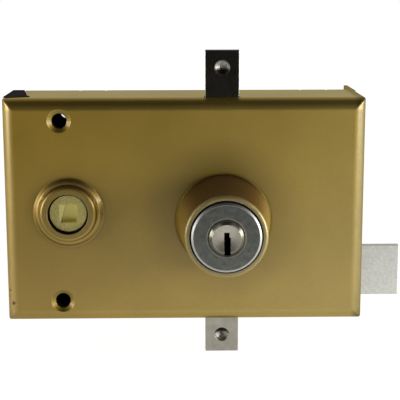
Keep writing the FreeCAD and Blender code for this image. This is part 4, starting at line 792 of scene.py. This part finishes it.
def hub_brass():
    """Turned brass, dull on its face, and lightened to yellow in the socket as painted light."""
    finish = Finish("hub_brass")
    base = finish.mix(finish.patches(scale=0.9, detail=5.0), BRASS_DARK, BRASS_LIGHT)
    speckle = finish.patches(scale=4.0, start=0.35, end=0.65, low=0.72, high=1.25)
    base = finish.tinted(base, finish.grey(speckle))
    start, end = (HUB_FRONT + depth for depth in SOCKET_DEPTH)
    middle = finish.below(finish.axis_distance(HUB_AXIS), *SOCKET_RADIUS)
    socket = finish.product(finish.level(finish.forward, start, end), middle)
    # Painted light: the socket is lightened to a bright yellow
    base = finish.mix(socket, base, SOCKET_LIGHT)
    finish.colour(finish.mix(finish.worn(reach=0.3), base, BRASS_WORN))
    finish.roughness(finish.blend(socket, low=0.42, high=0.62))
    grain = finish.noise(scale=2.5, detail=3.0)
    finish.relief(grain, depth=0.01, strength=0.5, rounding=0.18)
    return finish.material


def wedge_brass():
    """Brass, with painted shade on the slanted side that faces the socket."""
    finish = Finish("wedge_brass")
    patches = finish.patches(scale=1.2, detail=4.0)
    base = finish.mix(patches, WEDGE_DARK, WEDGE_LIGHT)
    slanted = finish.level(finish.parts(finish.normal())[0], *SLANT_FACING)
    # Painted shade on the slanted side
    finish.colour(finish.mix(slanted, base, WEDGE_SLANT_SHADE))
    finish.roughness(finish.blend(patches, low=0.42, high=0.55))
    finish.relief(patches, depth=0.01, strength=0.4, rounding=0.1)
    return finish.material


# Black parts

PLASTIC_DARK = (0.010, 0.006, 0.003)
PLASTIC_LIGHT = (0.018, 0.012, 0.007)
PLASTIC_EDGE = (0.025, 0.02, 0.015)
PLASTIC_SPECULAR = 0.02
BLACKED_DARK = (0.002, 0.003, 0.005)
BLACKED_LIGHT = (0.006, 0.008, 0.012)
BLACKED_EDGE = (0.02, 0.02, 0.02)
BLACKED_SPECULAR = 0.12
# Where the sleeves behind the screw holes lose their shine, in millimetres from their
# front ends
SLEEVE_DEPTH = (0.8, 2.0)


def black_plastic():
    """Matte moulded plastic."""
    finish = Finish("black_plastic", metallic=0.0)
    patches = finish.patches(scale=0.8, detail=4.0)
    base = finish.mix(patches, PLASTIC_DARK, PLASTIC_LIGHT)
    finish.colour(finish.mix(finish.edges(reach=0.1), base, PLASTIC_EDGE))
    finish.roughness(finish.blend(patches, low=0.62, high=0.75))
    finish.shader.inputs["Specular IOR Level"].default_value = PLASTIC_SPECULAR
    grain = finish.noise(scale=2.0, detail=3.0)
    finish.relief(grain, depth=0.02, strength=0.4, rounding=0.15)
    return finish.material


def blackened_steel():
    """Blackened steel that loses its shine with depth."""
    finish = Finish("blackened_steel", metallic=0.0)
    patches = finish.patches(scale=0.6, detail=4.0)
    base = finish.mix(patches, BLACKED_DARK, BLACKED_LIGHT)
    finish.colour(finish.mix(finish.edges(reach=0.3), base, BLACKED_EDGE))
    finish.roughness(finish.blend(patches, low=0.50, high=0.65))
    start, end = (SLEEVE_FRONT + depth for depth in SLEEVE_DEPTH)
    shine = finish.level(finish.forward, start, end, BLACKED_SPECULAR, 0.0)
    finish.feed(finish.shader.inputs["Specular IOR Level"], shine)
    finish.relief(patches, depth=0.02, strength=0.4, rounding=0.15)
    return finish.material


MAKERS = (
    lacquered_case, zinc_plate, screw_steel, collar_steel, cylinder_brass, plug_nickel,
    spring_steel, bolt_steel, rod_steel, gear_steel, hub_brass, wedge_brass, black_plastic,
    blackened_steel,
)
FINISHES = {maker.__name__: maker() for maker in MAKERS}


def finish_frame():
    """Gives every node of the frame the finish that the record names for it."""
    for part in frame["record"]["subparts"]:
        node = frame["nodes"][part["node"]]
        for slot in node.material_slots:
            slot.material = FINISHES[part["material_slot"]]


# Detail pieces

def add_piece(name, mesh, finish, body):
    piece = bpy.data.objects.new(name, mesh)
    bpy.context.scene.collection.objects.link(piece)
    mesh.materials.append(FINISHES[finish])
    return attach(piece, body)


def mesh_from(name, shape):
    """A mesh from a bmesh, which is freed."""
    mesh = bpy.data.meshes.new(name)
    shape.to_mesh(mesh)
    shape.free()
    return mesh


# A corner stop, in millimetres from the case's rear left corner: outlines from above
# as places across and forward, and the heights between which each outline stands
STOP_LID = ((0.06, 0.06), (4.6, 0.06), (8.25, 21.4), (10.1, 26.0), (4.2, 29.1), (0.06, 29.1))
STOP_PLUG = ((1.6, 0.06), (4.6, 0.06), (8.25, 21.4), (10.1, 26.0), (4.2, 29.1), (1.6, 29.1))
STOP_FOOT = ((1.6, 1.52), (4.6, 1.52), (4.6, 3.5), (1.6, 3.5))
STOP_LEVELS = ((STOP_LID, 0.02, 0.24), (STOP_PLUG, -1.3, 0.1), (STOP_FOOT, -4.5, -1.0))
STOP_BEVEL = 0.08 * MM

# Points nearer than WELD_REACH are merged, and faces flatter than FLAT_ANGLE joined
WELD_REACH = 0.002 * MM
FLAT_ANGLE = math.radians(0.5)


def prism(name, outline, corner, low, high):
    """A closed prism on an outline given in millimetres from a corner."""
    shape = bmesh.new()
    floor = [
        shape.verts.new(corner + Vector((across, -forward, low)) * MM)
        for across, forward in outline
    ]
    face = shape.faces.new(floor)
    raised = bmesh.ops.extrude_face_region(shape, geom=[face])["geom"]
    for item in raised:
        if isinstance(item, bmesh.types.BMVert):
            item.co.z += (high - low) * MM
    bmesh.ops.recalc_face_normals(shape, faces=shape.faces)
    return mesh_from(name, shape)


def joined(name, meshes):
    """The union of closed meshes, as one closed mesh without slivers."""
    objects = [bpy.data.objects.new(f"{name}_{index}", mesh) for index, mesh in enumerate(meshes)]
    for item in objects:
        bpy.context.scene.collection.objects.link(item)
    for tool in objects[1:]:
        union = objects[0].modifiers.new("union", "BOOLEAN")
        union.operation = "UNION"
        union.object = tool
    whole = objects[0].evaluated_get(bpy.context.evaluated_depsgraph_get())
    shape = bmesh.new()
    shape.from_mesh(whole.data)
    for item in objects:
        bpy.data.objects.remove(item)
    bmesh.ops.remove_doubles(shape, verts=shape.verts, dist=WELD_REACH)
    bmesh.ops.dissolve_limit(shape, angle_limit=FLAT_ANGLE, verts=shape.verts, edges=shape.edges)
    return mesh_from(name, shape)


def make_corner_stops():
    """Moulded stops in the open corners of the flanges, with a lid over the cut ends."""
    corner = Vector((CASE_LOW.x, 0, CASE_HIGH.z))
    for name, side in (("corner_stop_top", 1), ("corner_stop_bottom", -1)):
        mesh = joined(name, [
            prism(name, outline, corner, low, high) for outline, low, high in STOP_LEVELS
        ])
        if side < 0:
            mesh.transform(Matrix.Scale(-1, 4, UP))
            mesh.flip_normals()
        stop = add_piece(name, mesh, "black_plastic", "lock_case")
        bevel = stop.modifiers.new("rounded", "BEVEL")
        bevel.width = STOP_BEVEL
        bevel.segments = 2
        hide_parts("corner_stops")


PIN_COUNT = 5
PIN_SPRING_WIRE = 0.16 * MM
PIN_SPRING_PITCH = 0.55 * MM


def helix_tube(name, middle, axis, across, radius, wire, pitch, length, sides=8, steps=24):
    """A mesh tube wound about an axis, with closed ends."""
    turns = length / pitch
    count = round(turns * steps)
    side = axis.cross(across)
    shape = bmesh.new()
    rings = []
    for index in range(count + 1):
        angle = 2 * math.pi * turns * index / count
        outward = math.cos(angle) * across + math.sin(angle) * side
        centre = middle + radius * outward + axis * (length * (index / count - 0.5))
        ring = []
        for corner in range(sides):
            around = 2 * math.pi * corner / sides
            offset = math.cos(around) * outward + math.sin(around) * axis
            ring.append(shape.verts.new(centre + wire * offset))
        rings.append(ring)
    for first, second in zip(rings, rings[1:]):
        for corner in range(sides):
            following = (corner + 1) % sides
            shape.faces.new((first[corner], first[following], second[following], second[corner]))
    shape.faces.new(reversed(rings[0]))
    shape.faces.new(rings[-1])
    bmesh.ops.recalc_face_normals(shape, faces=shape.faces)
    mesh = mesh_from(name, shape)
    mesh.shade_smooth()
    return mesh


def make_pin_springs():
    """Wound springs on the tumbler pins, in place of their outer tubes."""
    low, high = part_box("pin_springs")
    centre = (low + high) / 2
    radius = (high.x - low.x) / 2
    step = (high.y - low.y - 2 * radius) / (PIN_COUNT - 1)
    length = high.z - low.z - 2 * PIN_SPRING_WIRE
    for index in range(PIN_COUNT):
        name = f"pin_spring_{index + 1}"
        middle = Vector((centre.x, low.y + radius + index * step, centre.z))
        mesh = helix_tube(name, middle, UP, ACROSS, radius - PIN_SPRING_WIRE,
                          PIN_SPRING_WIRE, PIN_SPRING_PITCH, length)
        spring = add_piece(name, mesh, "spring_steel", "lock_case")
        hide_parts("pin_springs")


# The floor

# How far it reaches from the lock, in metres
FLOOR_FRONT = 0.60
FLOOR_BACK = 2.5
FLOOR_SIDE = 1.6
# Its grey for diffuse light, and for the camera and metal, which also see it glow
FLOOR_COLOUR = 0.85
FLOOR_SEEN_COLOUR = 0.22
FLOOR_ROUGHNESS = 0.9
FLOOR_SPECULAR = 0.1
# How much weaker it glows at the lock, and the distances in millimetres over which it
# regains its full glow
FLOOR_SHADOW = 0.07
SHADOW_NEAR = 150
SHADOW_FAR = 700
# How bright metal sees it: two places in millimetres and the brightness at each
MIRRORED_ACROSS = (-150, 150, 0.45, 1.05)
MIRRORED_FORWARD = (-480, -120, 0.10, 1.0)


def make_floor():
    """A pale floor that reads white and keeps a soft shadow."""
    level = cad_box[0].z
    corners = [
        (-FLOOR_SIDE, -FLOOR_FRONT, level), (FLOOR_SIDE, -FLOOR_FRONT, level),
        (FLOOR_SIDE, FLOOR_BACK, level), (-FLOOR_SIDE, FLOOR_BACK, level),
    ]
    mesh = bpy.data.meshes.new("floor")
    mesh.from_pydata(corners, [], [(0, 1, 2, 3)])
    floor = bpy.data.objects.new("floor", mesh)
    bpy.context.scene.collection.objects.link(floor)
    mesh.materials.append(floor_material())


def floor_material():
    """Matte and pale, with a glow that only the camera and the lock's metal see.
    The camera sees it a little weaker round the lock, so that its shadow shows. The
    metal sees it fade to the left and away from the lock."""
    finish = Finish("floor", metallic=0.0)
    path = finish.add("ShaderNodeLightPath")
    to_camera, to_metal = path.outputs["Is Camera Ray"], path.outputs["Is Glossy Ray"]
    seen = finish.largest(to_camera, to_metal)
    finish.colour(finish.grey(finish.blend(seen, FLOOR_COLOUR, FLOOR_SEEN_COLOUR)))
    finish.roughness(FLOOR_ROUGHNESS)
    finish.shader.inputs["Specular IOR Level"].default_value = FLOOR_SPECULAR
    away = finish.add("ShaderNodeVectorMath", operation="LENGTH")
    finish.feed(away.inputs[0], finish.place)
    white = finish.level(away.outputs["Value"], SHADOW_NEAR, SHADOW_FAR, 1 - FLOOR_SHADOW, 1.0)
    mirrored = finish.product(
        finish.level(finish.across, *MIRRORED_ACROSS),
        finish.level(finish.forward, *MIRRORED_FORWARD),
    )
    glow = finish.add("ShaderNodeEmission")
    strength = finish.maths(
        "ADD", finish.product(to_camera, white), finish.product(to_metal, mirrored),
    )
    finish.feed(glow.inputs["Strength"], strength)
    both = finish.add("ShaderNodeAddShader")
    finish.feed(both.inputs[0], finish.shader.outputs[0])
    finish.feed(both.inputs[1], glow.outputs[0])
    finish.feed(finish.nodes["Material Output"].inputs["Surface"], both.outputs[0])
    return finish.material


# The room

# Its brightness against the sine of the height above the horizon, behind the lock and
# in front of it, and how far the seam between them reaches to each side
ROOM_BEHIND = ((-1.0, 0.6), (0.20, 0.6), (0.60, 0.50), (0.85, 0.40), (0.95, 0.05), (1.0, 0.02))
ROOM_FRONT = ((-1.0, 0.02), (0.05, 0.02), (0.25, 0.11), (0.50, 0.11), (0.75, 0.02), (1.0, 0.02))
ROOM_SEAM = 0.25
WHITE = (1.0, 1.0, 1.0)


def make_world():
    """White for the camera. The lock is lit by a room that is dim in front of it."""
    world = bpy.data.worlds.new("studio")
    bpy.context.scene.world = world
    world.use_nodes = True
    tree = NodeTree(world.node_tree)
    direction = tree.add("ShaderNodeTexCoord").outputs["Generated"]
    _, forward, height = tree.parts(direction)
    behind = room_ramp(tree, height, ROOM_BEHIND)
    front = room_ramp(tree, height, ROOM_FRONT)
    side = tree.level(forward, -ROOM_SEAM, ROOM_SEAM, steps="SMOOTHSTEP")
    room = tree.nodes["Background"]
    tree.feed(room.inputs["Color"], tree.mix(side, front, behind))
    white = tree.add("ShaderNodeBackground")
    tree.feed(white.inputs["Color"], opaque(WHITE))
    seen = tree.add("ShaderNodeMixShader")
    tree.feed(seen.inputs[0], tree.add("ShaderNodeLightPath").outputs["Is Camera Ray"])
    tree.feed(seen.inputs[1], room.outputs[0])
    tree.feed(seen.inputs[2], white.outputs[0])
    tree.feed(tree.nodes["World Output"].inputs["Surface"], seen.outputs[0])


def room_ramp(tree, height, stops):
    """The brightness that the stops give at each height from -1 to 1."""
    ramp = tree.add("ShaderNodeValToRGB")
    tree.feed(ramp.inputs[0], tree.level(height, -1.0, 1.0))
    elements = ramp.color_ramp.elements
    while len(elements) < len(stops):
        elements.new(0.5)
    for element, (place, brightness) in zip(elements, stops):
        element.position = (place + 1) / 2
        element.color = (brightness, brightness, brightness, 1)
    return ramp.outputs["Color"]


# Softboxes

# Sizes and places in metres. Each has a name, a side, a width and a power in watts.
SOFTBOX_ASIDE = 0.66
SOFTBOX_FORWARD = 0.24
SOFTBOX_LEVEL = 0.09
SOFTBOX_HEIGHT = 0.28
SOFTBOXES = (("left_softbox", -1, 0.35, 2.0), ("right_softbox", 1, 0.60, 5.1))


def make_softboxes():
    for name, side, width, power in SOFTBOXES:
        data = bpy.data.lights.new(name, "AREA")
        data.shape = "RECTANGLE"
        data.size = width
        data.size_y = SOFTBOX_HEIGHT
        data.energy = power
        lamp = bpy.data.objects.new(name, data)
        lamp.location = (side * SOFTBOX_ASIDE, -SOFTBOX_FORWARD, SOFTBOX_LEVEL)
        lamp.rotation_euler = (-lamp.location).to_track_quat("-Z", "Y").to_euler()
        bpy.context.scene.collection.objects.link(lamp)


bpy.context.scene.view_settings.view_transform = "Standard"
make_camera()
finish_frame()
make_corner_stops()
make_pin_springs()
make_floor()
make_world()
make_softboxes()

bpy.context.view_layer.update()
